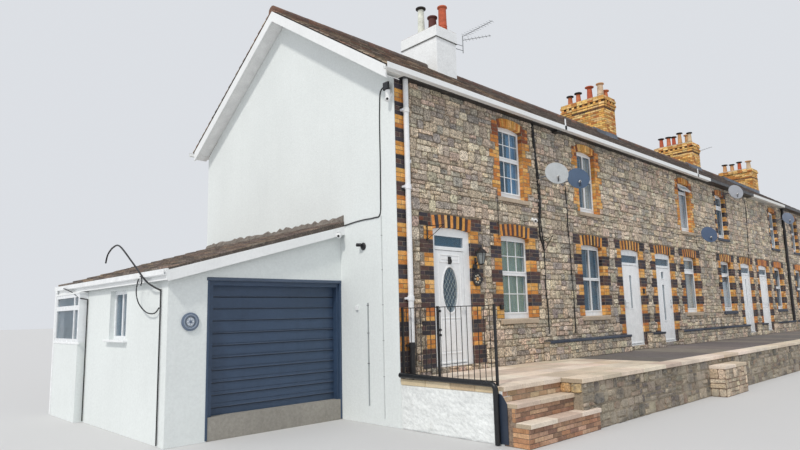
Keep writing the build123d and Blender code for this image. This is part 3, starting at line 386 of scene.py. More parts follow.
# stone and brick
STONES = shades((213, 198, 176), (198, 186, 167), (183, 173, 158), (224, 208, 185), (173, 165, 155),
                (207, 191, 168), (192, 180, 165), (217, 197, 174), (164, 156, 148), (204, 183, 164),
                (228, 214, 193), (181, 167, 149))
YELLOW = shades((214, 156, 80), (224, 168, 94), (202, 140, 68), (230, 182, 114), (198, 128, 62))
ORANGE = shades((204, 132, 68), (190, 116, 60), (210, 144, 78))
DARK = shades((72, 60, 64), (60, 54, 62), (86, 66, 64), (66, 62, 70), (92, 66, 60), (52, 48, 54))
RED = shades((172, 110, 76), (184, 124, 88), (154, 96, 68))
RUST = shades((150, 84, 48), (128, 72, 48), (108, 62, 46))
BRICK, JOINT = 0.225, 0.005


def subtract(cell, holes):
    """What is left of a rectangle once the holes are taken out, as smaller rectangles."""
    left = [cell]
    for hx0, hx1, hz0, hz1 in holes:
        after = []
        for x0, x1, z0, z1 in left:
            if hx0 >= x1 or hx1 <= x0 or hz0 >= z1 or hz1 <= z0:
                after.append((x0, x1, z0, z1))
                continue
            a, b = max(x0, hx0), min(x1, hx1)
            after += [c for c in ((x0, hx0, z0, z1), (hx1, x1, z0, z1), (a, b, z0, hz0), (a, b, hz1, z1))
                      if c[1] - c[0] > 1e-6 and c[3] - c[2] > 1e-6]
        left = after
    return left


def rubble_cells(x0, x1, z0, z1, course, width):
    """Roughly coursed squared stones: courses of uneven height, some stones split into two or three."""
    cells, z = [], z0
    while z < z1 - 0.02:
        h = rng.uniform(*course)
        if z + h > z1 - 0.07:
            h = z1 - z
        x = x0
        while x < x1 - 0.01:
            w = rng.uniform(*width)
            if x + w > x1 - 0.08:
                w = x1 - x
            chance = rng.random()
            a, b, c, d = x, x + w, z, z + h
            m, k = c + h * rng.uniform(0.36, 0.64), a + w * rng.uniform(0.32, 0.68)
            if h > 0.15 and chance < 0.42:
                for lo, hi in ((c, m), (m, d)):
                    if w > 0.26 and rng.random() < 0.5:
                        cells += [(a, k, lo, hi), (k, b, lo, hi)]
                    else:
                        cells.append((a, b, lo, hi))
            elif w > 0.28 and h > 0.13 and chance < 0.78:
                one, two = ((a, k), (k, b)) if rng.random() < 0.5 else ((k, b), (a, k))
                cells += [(*one, c, d), (*two, c, m), (*two, m, d)]
            else:
                cells.append((a, b, c, d))
            x += w
        z += h
    return cells


def stone_block(piece, cell, place, joint=0.006, colours=STONES):
    """One rough stone on a wall plane. place(x, z, out) gives the point that far out from the wall."""
    x0, x1, z0, z1 = cell
    w, h = x1 - x0, z1 - z0
    if w < 0.035 or h < 0.03:
        return
    r = min(w, h) * 0.26
    out = rng.uniform(0.008, 0.034)
    ring = []
    for cx, cz, sx, sz in ((x0, z0, 1, 1), (x1, z0, -1, 1), (x1, z1, -1, -1), (x0, z1, 1, -1)):
        a, b = r * rng.uniform(0.2, 1.0), r * rng.uniform(0.2, 1.0)
        px, pz = cx + sx * joint * rng.uniform(0.4, 1.6), cz + sz * joint * rng.uniform(0.4, 1.6)
        ring += [(px, pz + sz * b), (px + sx * a, pz)][::sx * sz]
    mx, mz, n = (x0 + x1) / 2, (z0 + z1) / 2, len(ring)
    base, mid, top = [], [], []
    bevel = min(0.01, r * 0.5)
    for x, z in ring:
        dx, dz = mx - x, mz - z
        dx, dz = (q / (math.hypot(dx, dz) or 1) * bevel for q in (dx, dz))
        base.append(place(x, z, -0.004))
        mid.append(place(x + dx * 0.35, z + dz * 0.35, out * 0.6))
        top.append(place(x + dx * 1.6, z + dz * 1.6, out * (1 + rng.uniform(-0.35, 0.35))))
    centre = place(mx + rng.uniform(-0.2, 0.2) * w, mz + rng.uniform(-0.2, 0.2) * h,
                   out * rng.uniform(0.9, 1.4))
    faces = []
    for i in range(n):
        q = (i + 1) % n
        faces += [(i, q, n + q, n + i), (n + i, n + q, 2 * n + q, 2 * n + i), (2 * n + i, 2 * n + q, 3 * n)]
    piece.add(base + mid + top + [centre], faces, pick(colours, 0.16, 0.04))


def rubble(piece, area, places, course=(0.13, 0.25), width=(0.16, 0.42), holes=(), joint=0.006,
           colours=STONES):
    """Stones all over an area but its holes, on each of the wall planes that places gives."""
    for cell in rubble_cells(*area, course, width):
        for part in subtract(cell, holes):
            for place in places:
                stone_block(piece, part, place, joint, colours)


def courses(z0, z1, course=0.08):
    """The lower and upper edge of each course between two heights."""
    rows = max(1, round((z1 - z0) / course))
    h = (z1 - z0) / rows
    return [(z0 + r * h, z0 + (r + 1) * h) for r in range(rows)]


def lengths(x0, x1, low, high, least):
    """Uneven lengths from one end to the other, the last one longer than least."""
    x = x0
    while x < x1 - 0.01:
        end = x + rng.uniform(low, high)
        end = x1 if end > x1 - least else end
        yield x, end
        x = end


def brick_box(piece, x0, x1, z0, z1, y_face, y_back, colours):
    """A brick in a wall that faces -Y (or +Y, if the back lies below the face), a little proud of it."""
    proud = (-0.007 if y_face < y_back else 0.007) * rng.uniform(0.7, 1.2)
    ya, yb = sorted((y_face + proud, y_back))
    piece.box((x0 + JOINT, ya, z0 + JOINT), (x1 - JOINT, yb, z1 - JOINT), pick(colours, 0.14, 0.04), 0.004)


def lay(piece, x0, x1, z0, z1, colours, y_face=0.0, y_back=0.02, course=0.08):
    """Courses of bricks that fill a rectangle, their joints staggered."""
    for r, (low, high) in enumerate(courses(z0, z1, course)):
        x, w = x0, BRICK / 2 if r % 2 else BRICK
        while x < x1 - 0.01:
            end = x + w if x + w < x1 - 0.05 else x1
            brick_box(piece, x, end, low, high, y_face, y_back, colours)
            x, w = end, BRICK


def span(edge, side, start, end):
    """The stretch from start to end on one side of an edge."""
    return sorted((edge + side * start, edge + side * end))


def reveal(edge, side, z0, z1, depth, colours):
    """Brick ends that line the side of an opening."""
    near, far = span(edge, side, -0.004, 0.02)
    for low, high in courses(z0, z1):
        jambs.box((near, 0.004, low + JOINT), (far, depth, high - JOINT), pick(colours, 0.12, 0.04))


def toothed(xs, z0, z1, colours, holes):
    """Bricks beside an opening, and the hole that they take out of the stones."""
    lay(jambs, *xs, z0, z1, colours)
    holes.append((xs[0] - 0.008, xs[1] + 0.008, z0, z1))


def voussoirs(cx, width, spring, rise, depth, count, colours):
    """The bricks of a segmental arch, laid on end along its radii; colours(i) are those for brick i."""
    half = width / 2
    radius = (half * half + rise * rise) / (2 * rise)
    centre, lean, gap = spring + rise - radius, math.asin(half / radius), JOINT / radius
    inner, outer = radius - 0.003, radius + depth - 0.004
    for i in range(count):
        a0, a1 = -lean + 2 * lean * i / count + gap, -lean + 2 * lean * (i + 1) / count - gap
        out = -rng.uniform(0.006, 0.014)
        points = [(cx + r * math.sin(a), 0, centre + r * math.cos(a))
                  for r, a in ((inner, a0), (inner, a1), (outer, a1), (outer, a0))]
        arches.prism(points, (0, out, 0), (0, 0.09, 0), pick(colours(i), 0.14, 0.04))


# openings and the brick round them
# bands of three courses, dark then yellow, as heights over the door sill
BANDS = [(-0.11, 0.33, 0)] + [(0.33 + 0.24 * i, 0.57 + 0.24 * i, 1 - i % 2) for i in range(9)]
QUOIN_W, QUOIN_TOP = 0.34, T + 4.89
rng.seed(41)
jambs, arches = Piece(), Piece()
holes_low, holes_high = [(-0.1, QUOIN_W + 0.005, 0, 10)], [(-0.1, QUOIN_W + 0.005, 0, 10)]
lay(jambs, 0.0, QUOIN_W, QUOIN_TOP, SOFFIT, DARK)
lay(jambs, 0.0, QUOIN_W, TERRACE, T + 0.33, DARK)
for i in range(19):
    z = QUOIN_TOP - 0.24 * (i + 1)
    lay(jambs, 0.0, QUOIN_W, z, z + 0.24, DARK if i % 2 else YELLOW if z > T + 1.5 else YELLOW + ORANGE)

openings = [(x, DOOR_W, T, k) for k, x in enumerate(DOORS)]
openings += [(x, LOW_W, LOW_SILL, k) for k, x in enumerate(WINDOWS)]
for x, width, foot, house in sorted(openings):
    half, door = width / 2, foot == T
    holes_low.append((x - half, x + half, foot - (0.0 if door else 0.1), SPRING + 0.1))
    if not door:
        holes_low.append((x - half - 0.13, x + half + 0.13, foot - 0.1, foot))
    for side in (-1, 1):
        edge = x + side * half
        for a, b, yellow in BANDS:
            a = max(a, foot - T)
            if b - a < 0.02:
                continue
            colours = (YELLOW if a > 1.2 else YELLOW + ORANGE) if yellow else DARK
            toothed(span(edge, side, 0, 0.24 if yellow else 0.35), T + a, T + b, colours, holes_low)
            reveal(edge, side, T + a, T + min(b, 2.46), 0.038 if door else 0.098, colours)
        xs = span(edge, side, 0.045, 0.345)
        lay(jambs, *xs, T + 2.5, T + 2.73, DARK + RUST[2:] if house < 1 else DARK)
        holes_low.append((xs[0] - 0.008, xs[1] + 0.008, T + 2.49, T + 2.735))
    voussoirs(x, width, SPRING, RISE, RING, 13,
              lambda i: RED + ORANGE if house > 3 else DARK if i % 2 else YELLOW + ORANGE[2:])
    holes_low.append((x - half - 0.05, x + half + 0.05, SPRING, SPRING + RISE + RING + 0.006))
for k, x in enumerate(WINDOWS):
    half = HIGH_W / 2
    holes_high += [(x - half, x + half, HIGH_SILL - 0.1, UP_SPRING + 0.1),
                   (x - half - 0.11, x + half + 0.11, HIGH_SILL - 0.1, HIGH_SILL)]
    for side in (-1, 1):
        z, i, end = HIGH_SILL, 0, UP_SPRING + 0.2
        while z < end - 0.08:
            top = z + 0.16 if z + 0.21 < end else end
            w = 0.225 if i % 2 else 0.125
            if k >= 3:
                colours = DARK if i % 2 else YELLOW
            else:
                colours = RUST[:2] + ORANGE if top > UP_SPRING - 0.05 else YELLOW * 2 + ORANGE
                w += 0.05 * (i % 3)
            toothed(span(x, side, half if top < UP_SPRING + 0.03 else half + 0.03, half + w), z, top, colours,
                    holes_high)
            if top < UP_SPRING + 0.01:
                reveal(x + side * half, side, z, top, 0.098, colours)
            z, i = top, i + 1
    voussoirs(x, HIGH_W, UP_SPRING, UP_RISE, UP_RING, 12,
              lambda i: RUST if i in (0, 11) else YELLOW + ORANGE[:1] if k < 3 or i % 2 else RED)
    holes_high.append((x - half - 0.06, x + half + 0.06, UP_SPRING, UP_SPRING + UP_RISE + UP_RING + 0.006))
jambs.make("brick_quoins_and_jambs", "arch_brick", brick)
arches.make("arch_bricks", "arch_brick", brick)

# rubble stone on the front and rear
lower, upper, plinth, rear, rear_brick = (Piece() for _ in range(5))
rng.seed(7)
STOREY, CAP = T + 2.75, T + 0.3
# runs of the low plinth: between its start, the doors, the soil pipe and the far end
SOIL_PIPE_X, PLINTH_FROM, DOOR_GAP = 22.9, 4.2, DOOR_W / 2 + 0.09
stops = [PLINTH_FROM, LENGTH] + [SOIL_PIPE_X + s * 0.11 for s in (-1, 1)]
stops = sorted(stops + [x + s * DOOR_GAP for x in DOORS[1:] for s in (-1, 1)])
PLINTH, PLINTH_FACE = list(zip(stops[0::2], stops[1::2])), (TERRACE, CAP - 0.045)
holes_low += [(a, b, 0, CAP) for a, b in PLINTH]
for piece, z0, z1, holes in ((lower, TERRACE, STOREY, holes_low), (upper, STOREY, SOFFIT, holes_high)):
    rubble(piece, (0.0, LENGTH, z0, z1), [lambda x, z, o: (x, -o, z)], holes=holes)
lower.make("front_stones_lower", "rubble_stone", stone)
upper.make("front_stones_upper", "rubble_stone", stone)
BLUE = shades((58, 66, 82), (70, 78, 92), (50, 56, 68))
for a, b in PLINTH:
    rubble(plinth, (a, b, *PLINTH_FACE), [lambda x, z, o: (x, -0.15 - o * 0.6, z)], (0.1, 0.17), (0.14, 0.34))
    rubble(plinth, (-0.148, -0.002, *PLINTH_FACE), [lambda y, z, o: (a - o * 0.6, y, z)],
           (0.16, 0.2), (0.2, 0.3))
    for x, end in lengths(a, b, 0.5, 0.95, 0.3):
        plinth.box((x + 0.002, -0.181, CAP - 0.05), (end - 0.002, -0.001, CAP + 0.005), pick(BLUE, 0.1),
                   0.008, 1)
plinth.make("plinth_stones_and_coping", "rubble_stone", stone, coping)

holes = []
rear_openings = [(x, DOOR_W, T, SPRING) for x in DOORS] + [(x, LOW_W, LOW_SILL, SPRING) for x in WINDOWS]
for x, w, z0, z1 in rear_openings + [(x, HIGH_W, HIGH_SILL, UP_SPRING) for x in WINDOWS]:
    x0, x1 = x - w / 2, x + w / 2
    holes += [(x0, x1, z0 - (0.1 if z0 > T else 0), z1 + 0.23), (x0 - 0.13, x1 + 0.13, z0 - 0.1, z0)]
    for a, b in ((x0 - BRICK, x0), (x1, x1 + BRICK)):
        lay(rear_brick, a, b, z0, z1 + BRICK, YELLOW + ORANGE, DEPTH, DEPTH - 0.02)
        holes.append((a - 0.005, b + 0.005, z0, z1 + BRICK))
    n = round(w / 0.08)
    for i in range(n):
        brick_box(rear_brick, x0 + w * i / n, x0 + w * (i + 1) / n, z1, z1 + BRICK, DEPTH, DEPTH - 0.02,
                  YELLOW + ORANGE)
rubble(rear, (0.0, LENGTH, 0.0, SOFFIT), [lambda x, z, o: (x, DEPTH + o, z)], (0.18, 0.34), (0.22, 0.55),
       holes)
rear.make("rear_stones", "rubble_stone", stone)
rear_brick.make("rear_brick_surrounds", "arch_brick", brick)

# terrace
rng.seed(5)
retaining, flags, risers, cores, end_wall, edging = (Piece() for _ in range(6))
FAR_STEP = (6.6, 7.9)
rubble(retaining, (NEAR_STEPS_TO, LENGTH, 0.0, TERRACE - 0.06), [lambda x, z, o: (x, WALL_FACE - o * 0.7, z)],
       (0.14, 0.26), (0.18, 0.45), [(*FAR_STEP, 0, 0.62)], 0.013,
       shades((150, 140, 124), (126, 118, 108), (168, 156, 138), (110, 104, 98), (140, 124, 108)))
STEP_STONES = shades((206, 186, 160), (190, 170, 146), (176, 156, 134), (216, 198, 172))
rubble(retaining, (*FAR_STEP, 0.0, 0.56), [lambda x, z, o: (x, -2.731 - min(o, 0.034) * 0.5, z)],
       (0.14, 0.24), (0.2, 0.5), (), 0.008, STEP_STONES)
rubble(retaining, (-2.735, WALL_FACE, 0.0, 0.56),
       [lambda y, z, o: (FAR_STEP[0] - o * 0.6, y, z), lambda y, z, o: (FAR_STEP[1] + o * 0.6, y, z)],
       (0.14, 0.24), (0.14, 0.3), (), 0.008, STEP_STONES)
for y0, y1 in ((WALL_FACE, -2.24), (-2.24, -2.05)):
    stone_block(retaining, (y0, y1, 0.575, 0.73), lambda y, z, o: (NEAR_STEPS_TO - o, y, z),
                colours=shades((206, 172, 124), (198, 162, 116)))
retaining.make("retaining_wall_stones", "brown_brick", wall_stone)

PALE = shades((222, 206, 188), (210, 193, 174), (230, 215, 198), (202, 184, 165))
GREY = shades((116, 109, 104), (124, 116, 110), (106, 101, 98))
# paving, coping and treads: x, y and z ranges, colours, shortest and longest slab, chamfer
paving, y, bed, edge = [], -0.02, (TERRACE - 0.01, TERRACE + 0.006), (TERRACE - 0.062, TERRACE + 0.008)
for r in (0.45, 0.6, 0.45, 0.54):
    paving.append((0.0, PALE_FLAGS_TO, y - r + 0.003, y - 0.003, *bed, PALE, 0.45, 0.9, 0.003))
    y -= r
paving += [(PALE_FLAGS_TO, LENGTH, -2.085, -0.02, TERRACE - 0.01, TERRACE + 0.002, GREY, 0.9, 1.4, 0.003),
           (1.47, LENGTH, -2.456, -2.09, *edge, PALE, 0.6, 0.95, 0.006),
           (0.0, 1.47, -2.086, -1.8, *edge, PALE, 0.45, 0.55, 0.006),
           (0.0, NEAR_STEPS_TO, -2.293, -2.05, 0.512, 0.576, PALE, 0.5, 0.7, 0.006),
           (0.0, 1.9, -2.503, -2.26, 0.262, 0.326, PALE, 0.6, 0.8, 0.006),
           (*FAR_STEP, -2.749, WALL_FACE, 0.558, 0.625, PALE, 0.6, 0.7, 0.006)]
for x0, x1, y0, y1, z0, z1, colours, low, high, chamfer in paving:
    for x, end in lengths(x0, x1, low, high, 0.2):
        flags.box((x + 0.003, y0, z0), (end - 0.003, y1, z1), pick(colours, 0.06), chamfer)
flags.make("terrace_paving_and_treads", "dressed_stone", flag_stone)

BROWN = shades((174, 138, 112), (156, 120, 98), (186, 152, 126), (140, 110, 92), (168, 126, 98))
SAND = shades((190, 164, 134), (172, 146, 118), (204, 180, 150)) + BROWN[:1]
for x1, z0, z1, colours, y, course in ((NEAR_STEPS_TO, 0.575, 0.73, SAND, -2.05, 0.078),
                                       (NEAR_STEPS_TO, 0.325, 0.512, BROWN, -2.26, 0.065),
                                       (1.9, 0.0, 0.262, BROWN, -2.47, 0.066)):
    lay(risers, 0.0, x1, z0, z1, colours, y, y + 0.02, course)
# the bricks of the steps' side face are brighter: painted light on the side that faces the sun
SIDE = shades((192, 146, 108), (176, 130, 96), (204, 164, 126))
for z0, z1, y0 in ((0.0, 0.262, -2.47), (0.325, 0.512, -2.26)):
    for low, high in courses(z0, z1, 0.066):
        risers.box((-0.006, y0 + 0.004, low + 0.004), (0.01, -2.204, high - 0.004), pick(SIDE), 0.004)
risers.make("step_riser_bricks", "brown_brick", brick)

for x0, x1, y0, y1, z1 in ((0.0, NEAR_STEPS_TO, -2.26, -2.05, 0.515),
                           (0.0, NEAR_STEPS_TO, -2.47, -2.26, 0.265),
                           (NEAR_STEPS_TO, 1.9, -2.47, WALL_FACE, 0.265),
                           (*FAR_STEP, -2.734, WALL_FACE, 0.56)):
    cores.box((x0, y0, 0.0), (x1, y1, z1), srgb(132, 112, 96), 0.003)
cores.make("step_block_cores", "brown_brick", rough_core, replaces=["step_blocks"])

cols, rows, v = 90, 34, []
for j in range(rows + 1):
    for i in range(cols + 1):
        y, z = -2.0 + 1.99 * i / cols, 0.002 + 0.696 * j / rows
        lump = noise.noise(Vector((y * 5, z * 7, 1.0))) + 0.6 * noise.noise(Vector((y * 14, z * 18, 4.0)))
        flat = i in (0, cols) or j in (0, rows)
        v.append((-0.003 if flat else -max(0.003, 0.013 + 0.014 * lump + rng.uniform(-0.002, 0.002)), y, z))
end_wall.add(v + [(0.004, y, z) for _, y, z in v], [(q[0], *q[:0:-1]) for q in sheet_faces(cols, rows)])
end_wall.make("end_wall_rough_paint", "pale_render", wall_paint)
BUFF = shades((214, 194, 162), (200, 178, 146), (222, 204, 174))
for y, end in lengths(-2.0, -0.02, 0.4, 0.6, 0):
    edging.box((-0.022, y + 0.003, 0.698), (0.004, end - 0.003, TERRACE + 0.004), pick(BUFF, 0.06), 0.006)
edging.prism([(0, -2.13, 0.02), (0, -1.985, 0.02), (0, -1.985, 0.7), (0, -2.04, 0.69), (0, -2.13, 0.56)],
             (-0.012, 0, 0), (0.002, 0, 0), srgb(44, 54, 70), 1)
edging.make("end_wall_edging_and_board", "dressed_stone", flag_stone, painted)

# roof tiles
rng.seed(11)
MOTTLED = shades((124, 108, 96), (144, 126, 110), (96, 85, 78), (158, 142, 124), (108, 96, 87),
                 (136, 106, 88))
SMOOTH = shades((120, 108, 100), (108, 97, 90), (130, 117, 107), (98, 89, 84))
OLD = shades((98, 88, 86), (108, 98, 92), (86, 78, 78))


def tile_field(piece, x0, x1, s1, to_world, colours, gauge=0.2, width=0.27, holes=()):
    """Courses of lapped tiles on a slope: s runs up the slope, and to_world(x, s, out) places a point."""
    for r, (s, s_top) in enumerate(courses(0.0, s1, gauge)):
        x = x0 - (width / 2 if r % 2 else 0)
        while x < x1:
            cell = (max(x, x0), min(x + width, x1), s, s_top)
            x += width
            tone = pick(colours((cell[0] + cell[1]) / 2), 0.2, 0.05)
            lift = 0.03 + rng.uniform(-0.004, 0.007)
            for a, b, low, high in subtract(cell, holes):
                if b - a < 0.02 or high - low < 0.02:
                    continue
                top = min(high + 0.02, s1) if high > s_top - 0.001 else high
                v = [to_world(px, ps, po) for px in (a + 0.002, b - 0.002)
                     for ps, po in ((low - 0.006, 0.0), (low, lift), (top, 0.007), (top, 0.0))]
                piece.add(v, [(0, 1, 5, 4), (1, 2, 6, 5), (2, 3, 7, 6), (0, 3, 2, 1), (4, 5, 6, 7)], tone)


def front_slope(x, s, out):
    y = -EAVES_Y + s * COS
    return (x, y - out * SIN, roof_z(y) + out * COS)


def rear_slope(x, s, out):
    x, y, z = front_slope(x, s, out)
    return (x, 2 * RIDGE_Y - y, z)


def house_tiles(x):
    return MOTTLED if x < 4.9 else SMOOTH if x < 14 else OLD + SMOOTH


front_holes = [(x0, x1, (y0 + EAVES_Y) / COS, (min(y1, RIDGE_Y + 0.2) + EAVES_Y) / COS)
               for x0, x1, y0, y1, _ in STACKS]
rear_holes = [(x0, x1, (DEPTH - y1 + EAVES_Y) / COS, 99) for x0, x1, _, y1, _ in STACKS]
for name, slope, holes in (("front_roof_tiles", front_slope, front_holes),
                           ("rear_roof_tiles", rear_slope, rear_holes)):
    piece = Piece()
    tile_field(piece, -0.336, LENGTH + 0.06, (RIDGE_Y + EAVES_Y) / COS - 0.07, slope, house_tiles,
               holes=holes)
    piece.make(name, "roof_tiles", tile)

ridge, x, SIDES = Piece(), -0.33, 9
while x < LENGTH + 0.05:
    end = min(x + 0.45, LENGTH + 0.06)
    for a, b, _, _ in subtract((x, end, 0, 1), [(s[0], s[1], 0, 1) for s in STACKS if s[2] < RIDGE_Y < s[3]]):
        arc = [math.radians(-36 + 252 * k / (SIDES - 1)) for k in range(SIDES)]
        v = [(px, RIDGE_Y + r * math.cos(t), RIDGE_Z - 0.03 + r * math.sin(t))
             for px, r in ((a + 0.003, 0.131), (b - 0.003, 0.128)) for t in arc]
        faces = [(k, k + 1, SIDES + k + 1, SIDES + k) for k in range(SIDES - 1)]
        ridge.add(v, faces + [tuple(range(SIDES))[::-1], tuple(range(SIDES, 2 * SIDES))],
                  pick(shades((120, 88, 72), (104, 80, 70), (96, 84, 78)), 0.12))
    x = end
ridge.make("ridge_tile_row", "roof_tiles", tile, smooth=True)

lean_to = Piece(T)
LEAN = math.atan((LEAN_TOP - LEAN_EAVES) / -LEAN_X)


def lean_slope(y, s, out):
    rise, run = math.sin(LEAN), math.cos(LEAN)
    return (LEAN_X + s * run - out * rise, y, LEAN_EAVES + s * rise + out * run)


tile_field(lean_to, LEAN_FRONT, DEPTH, -LEAN_X / math.cos(LEAN) - 0.01, lean_slope,
           lambda m: SMOOTH + MOTTLED[:2], 0.3, 0.3)
lean_to.make("lean_to_tiles", "roof_tiles", tile)

# chimneys
rng.seed(23)
stacks, pots = Piece(), Piece()
CHIM = shades((222, 170, 94), (232, 188, 114), (204, 146, 78), (238, 202, 138), (188, 122, 64),
              (216, 180, 124))
CHIM_PAINTED_SHADE = shades((78, 58, 44), (120, 82, 52), (96, 68, 48))
COURSE, LEAD, COAT = 0.085, srgb(128, 138, 152), srgb(243, 246, 247)
CEMENT_MAT, LEAD_MAT, COAT_MAT = 1, 2, 3


def brick_ring(stack, out, z0, z1, colours, course=0.075, long=BRICK, proud=0.008, every=1, inner=0.02):
    """Brick courses round the four sides of a stack, out from its faces; every=2 lays each other header."""
    x0, x1, y0, y1 = stack[0] - out, stack[1] + out, stack[2] - out, stack[3] + out
    for r, (a, b) in enumerate(courses(z0, z1, course)):
        for lo, hi, face, sign, across in ((x0, x1, y0, -1, False), (x0, x1, y1, 1, False),
                                           (y0, y1, x0, -1, True), (y0, y1, x1, 1, True)):
            p, count = lo - (long / 2 if r % 2 and every == 1 else 0), 0
            while p < hi - 0.01:
                s, e = max(p, lo), min(p + long, hi)
                p, count = p + long, count + 1
                if e - s < 0.02 or count % every:
                    continue
                near, far = sorted((face + sign * proud * rng.uniform(0.6, 1.2), face - sign * inner))
                low, high = ((s + 0.006, near), (e - 0.006, far))
                if across:
                    low, high = low[::-1], high[::-1]
                stacks.box((*low, a + 0.006), (*high, b - 0.006), pick(colours, 0.24, 0.05), 0.003)


def round_stack(stack, out, z):
    """The outline of a stack, that far out, at a height."""
    x0, x1, y0, y1 = stack[0] - out, stack[1] + out, stack[2] - out, stack[3] + out
    return [(x0, y0, z), (x1, y0, z), (x1, y1, z), (x0, y1, z)]


def collar(stack, out, z0, z1, tone, chamfer, mat):
    low, high = round_stack(stack, out, z0), round_stack(stack, out, z1)
    stacks.box(low[0], high[2], tone, chamfer, mat)


for stack in STACKS[1:]:
    x0, x1, y0, y1, top = stack
    low = top < T + 8.0
    brick_ring(stack, 0, min(roof_z(y0), roof_z(y1)) - 0.02, top - (2 if low else 5) * COURSE, CHIM)
    # a dark course under the oversailing courses: a painted shadow line
    brick_ring(stack, 0, top - 0.51, top - 0.435, CHIM_PAINTED_SHADE, proud=0.012)
    for course, out in [(5, 0.0225), (4, 0.045)] * (not low) + [(2, 0.045), (1, 0.0225)]:
        brick_ring(stack, out, top - course * COURSE, top - (course - 1) * COURSE, CHIM, COURSE)
    if not low:
        # the course behind the dentils is dark: painted shade in the gaps between them
        brick_ring(stack, 0, top - 3 * COURSE, top - 2 * COURSE, CHIM_PAINTED_SHADE, COURSE)
        brick_ring(stack, 0.03, top - 3 * COURSE, top - 2 * COURSE, CHIM[:3], COURSE, BRICK / 2,
                   every=2, inner=0.04)
    stacks.loft(round_stack(stack, -0.01, top - 0.002), round_stack(stack, -0.1, top + 0.055),
                srgb(176, 168, 154), CEMENT_MAT)
    # stepped lead where the stack meets the roof, on both sides and along its front
    for near in (x0 - 0.016, x1 + 0.016):
        for ya, yb in ((y0 - 0.02, RIDGE_Y), (RIDGE_Y, y1 + 0.02)):
            flashing = [(near, y, roof_z(y) + z)
                        for y, z in ((ya, 0.015), (yb, 0.015), (yb, 0.17), (ya, 0.17))]
            stacks.prism(flashing, (-0.004, 0, 0), (0.004, 0, 0), LEAD, LEAD_MAT)
    left, right, fore, hind = x0 - 0.05, x1 + 0.05, (y0 - 0.2, 0.032), (y0 - 0.012, 0.036)
    apron = [(x, y, roof_z(y) + z)
             for x, (y, z) in ((left, fore), (right, fore), (right, hind), (left, hind))]
    stacks.prism(apron, (0, 0, 0), (0, 0, 0.006), LEAD, LEAD_MAT)
    stacks.box((x0 - 0.016, y0 - 0.018, roof_z(y0) + 0.02), (x1 + 0.016, y0 - 0.006, roof_z(y0) + 0.17), LEAD,
               0, LEAD_MAT)
# the first stack is painted white and has a broad band at its top
stack = STACKS[0]
top = stack[4]
collar(stack, 0.006, min(roof_z(stack[2]), roof_z(stack[3])) - 0.02, top - 0.31, COAT, 0.01, COAT_MAT)
collar(stack, 0.031, top - 0.315, top + 0.002, COAT, 0.012, COAT_MAT)
# a thin grey strip at the foot of the band: a painted shadow under its edge
collar(stack, 0.034, top - 0.326, top - 0.312, srgb(120, 122, 120), 0, CEMENT_MAT)
stacks.loft(round_stack(stack, -0.01, top - 0.002), round_stack(stack, -0.11, top + 0.06),
            srgb(186, 184, 176), CEMENT_MAT)
stacks.make("chimney_bricks", "chimney_masonry", brick, stack_cement, lead, stack_paint)

RED_POT, TAN_POT, BUFF_POT, CREAM_POT = shades((182, 90, 60), (192, 112, 74), (198, 152, 108),
                                               (204, 180, 148))
WHITE_POT, COWL, SOOT = shades((222, 222, 214), (92, 50, 46), (44, 38, 36))
# each pot: x, y, height, radius, rim, clay, and the colour of its rim
POTS = [
    (5.0, 3.22, 0.77, 0.119, 0.02, RED_POT, RED_POT), (4.92, 3.53, 0.56, 0.122, 0.024, COWL, COWL),
    (4.89, 3.94, 0.98, 0.106, 0.04, WHITE_POT, SOOT), (14.05, 4.61, 0.47, 0.1, 0.042, TAN_POT, SOOT),
    (14.05, 4.25, 0.51, 0.104, 0.046, TAN_POT, SOOT), (14.05, 3.76, 0.62, 0.116, 0.052, RED_POT, RED_POT),
    (13.9, 3.24, 0.56, 0.12, 0.03, CREAM_POT, BUFF_POT), (14.29, 3.24, 0.38, 0.1, 0.04, TAN_POT, TAN_POT),
    (22.75, 4.74, 0.58, 0.104, 0.046, RED_POT, SOOT), (22.54, 4.3, 0.52, 0.104, 0.046, TAN_POT, SOOT),
    (22.95, 4.21, 0.6, 0.1, 0.044, RED_POT, SOOT), (22.58, 3.78, 0.62, 0.1, 0.046, BUFF_POT, SOOT),
    (22.97, 3.6, 0.56, 0.1, 0.04, BUFF_POT, BUFF_POT), (22.6, 3.33, 0.54, 0.096, 0.04, CREAM_POT, SOOT),
    (27.42, 3.44, 0.5, 0.104, 0.044, BUFF_POT, SOOT), (27.42, 3.09, 0.46, 0.1, 0.042, BUFF_POT, SOOT),
    (27.42, 2.73, 0.52, 0.1, 0.042, RED_POT, SOOT), (27.42, 2.3, 0.49, 0.11, 0.044, CREAM_POT, BUFF_POT)]
for x, y, h, r, rim, clay_tone, rim_tone in POTS:
    foot = (x, y, next(s[4] for s in STACKS if s[0] < x < s[1]))
    neck, bore = r - rim / 2, r - rim / 2 - 0.018
    body = [(r + 0.02, 0.0), (r + 0.02, 0.03), (r + 0.012, 0.045), (r, 0.06), (r - rim / 4, h / 2),
            (neck, h - 0.085), (neck, h - 0.07)]
    lip = [(bore, 0.12), (neck, 0.072), (r - 0.002, 0.062), (r + rim, 0.042), (r + rim, 0.014),
           (r + rim * 0.7, 0.004), (r, 0.0), (bore + 0.004, 0.0), (bore, 0.006), (bore, 0.115)]
    pots.lathe(foot, body, 24, vary(clay_tone, 0.05))
    pots.lathe(foot, [(q, h - down) for q, down in lip], 24, vary(rim_tone, 0.05))
    for z in ((0.2 * h,) if rim > 0.03 else (0.16 * h, 0.24 * h)):
        pots.lathe(foot, [(r - 0.01, z - 0.012), (r + 0.008, z - 0.006), (r + 0.008, z + 0.006),
                          (r - 0.01, z + 0.012)], 24, vary(clay_tone, 0.1))
pots.make("chimney_pots_fired", "clay_pots", clay, smooth=True, replaces=["chimney_pots"])

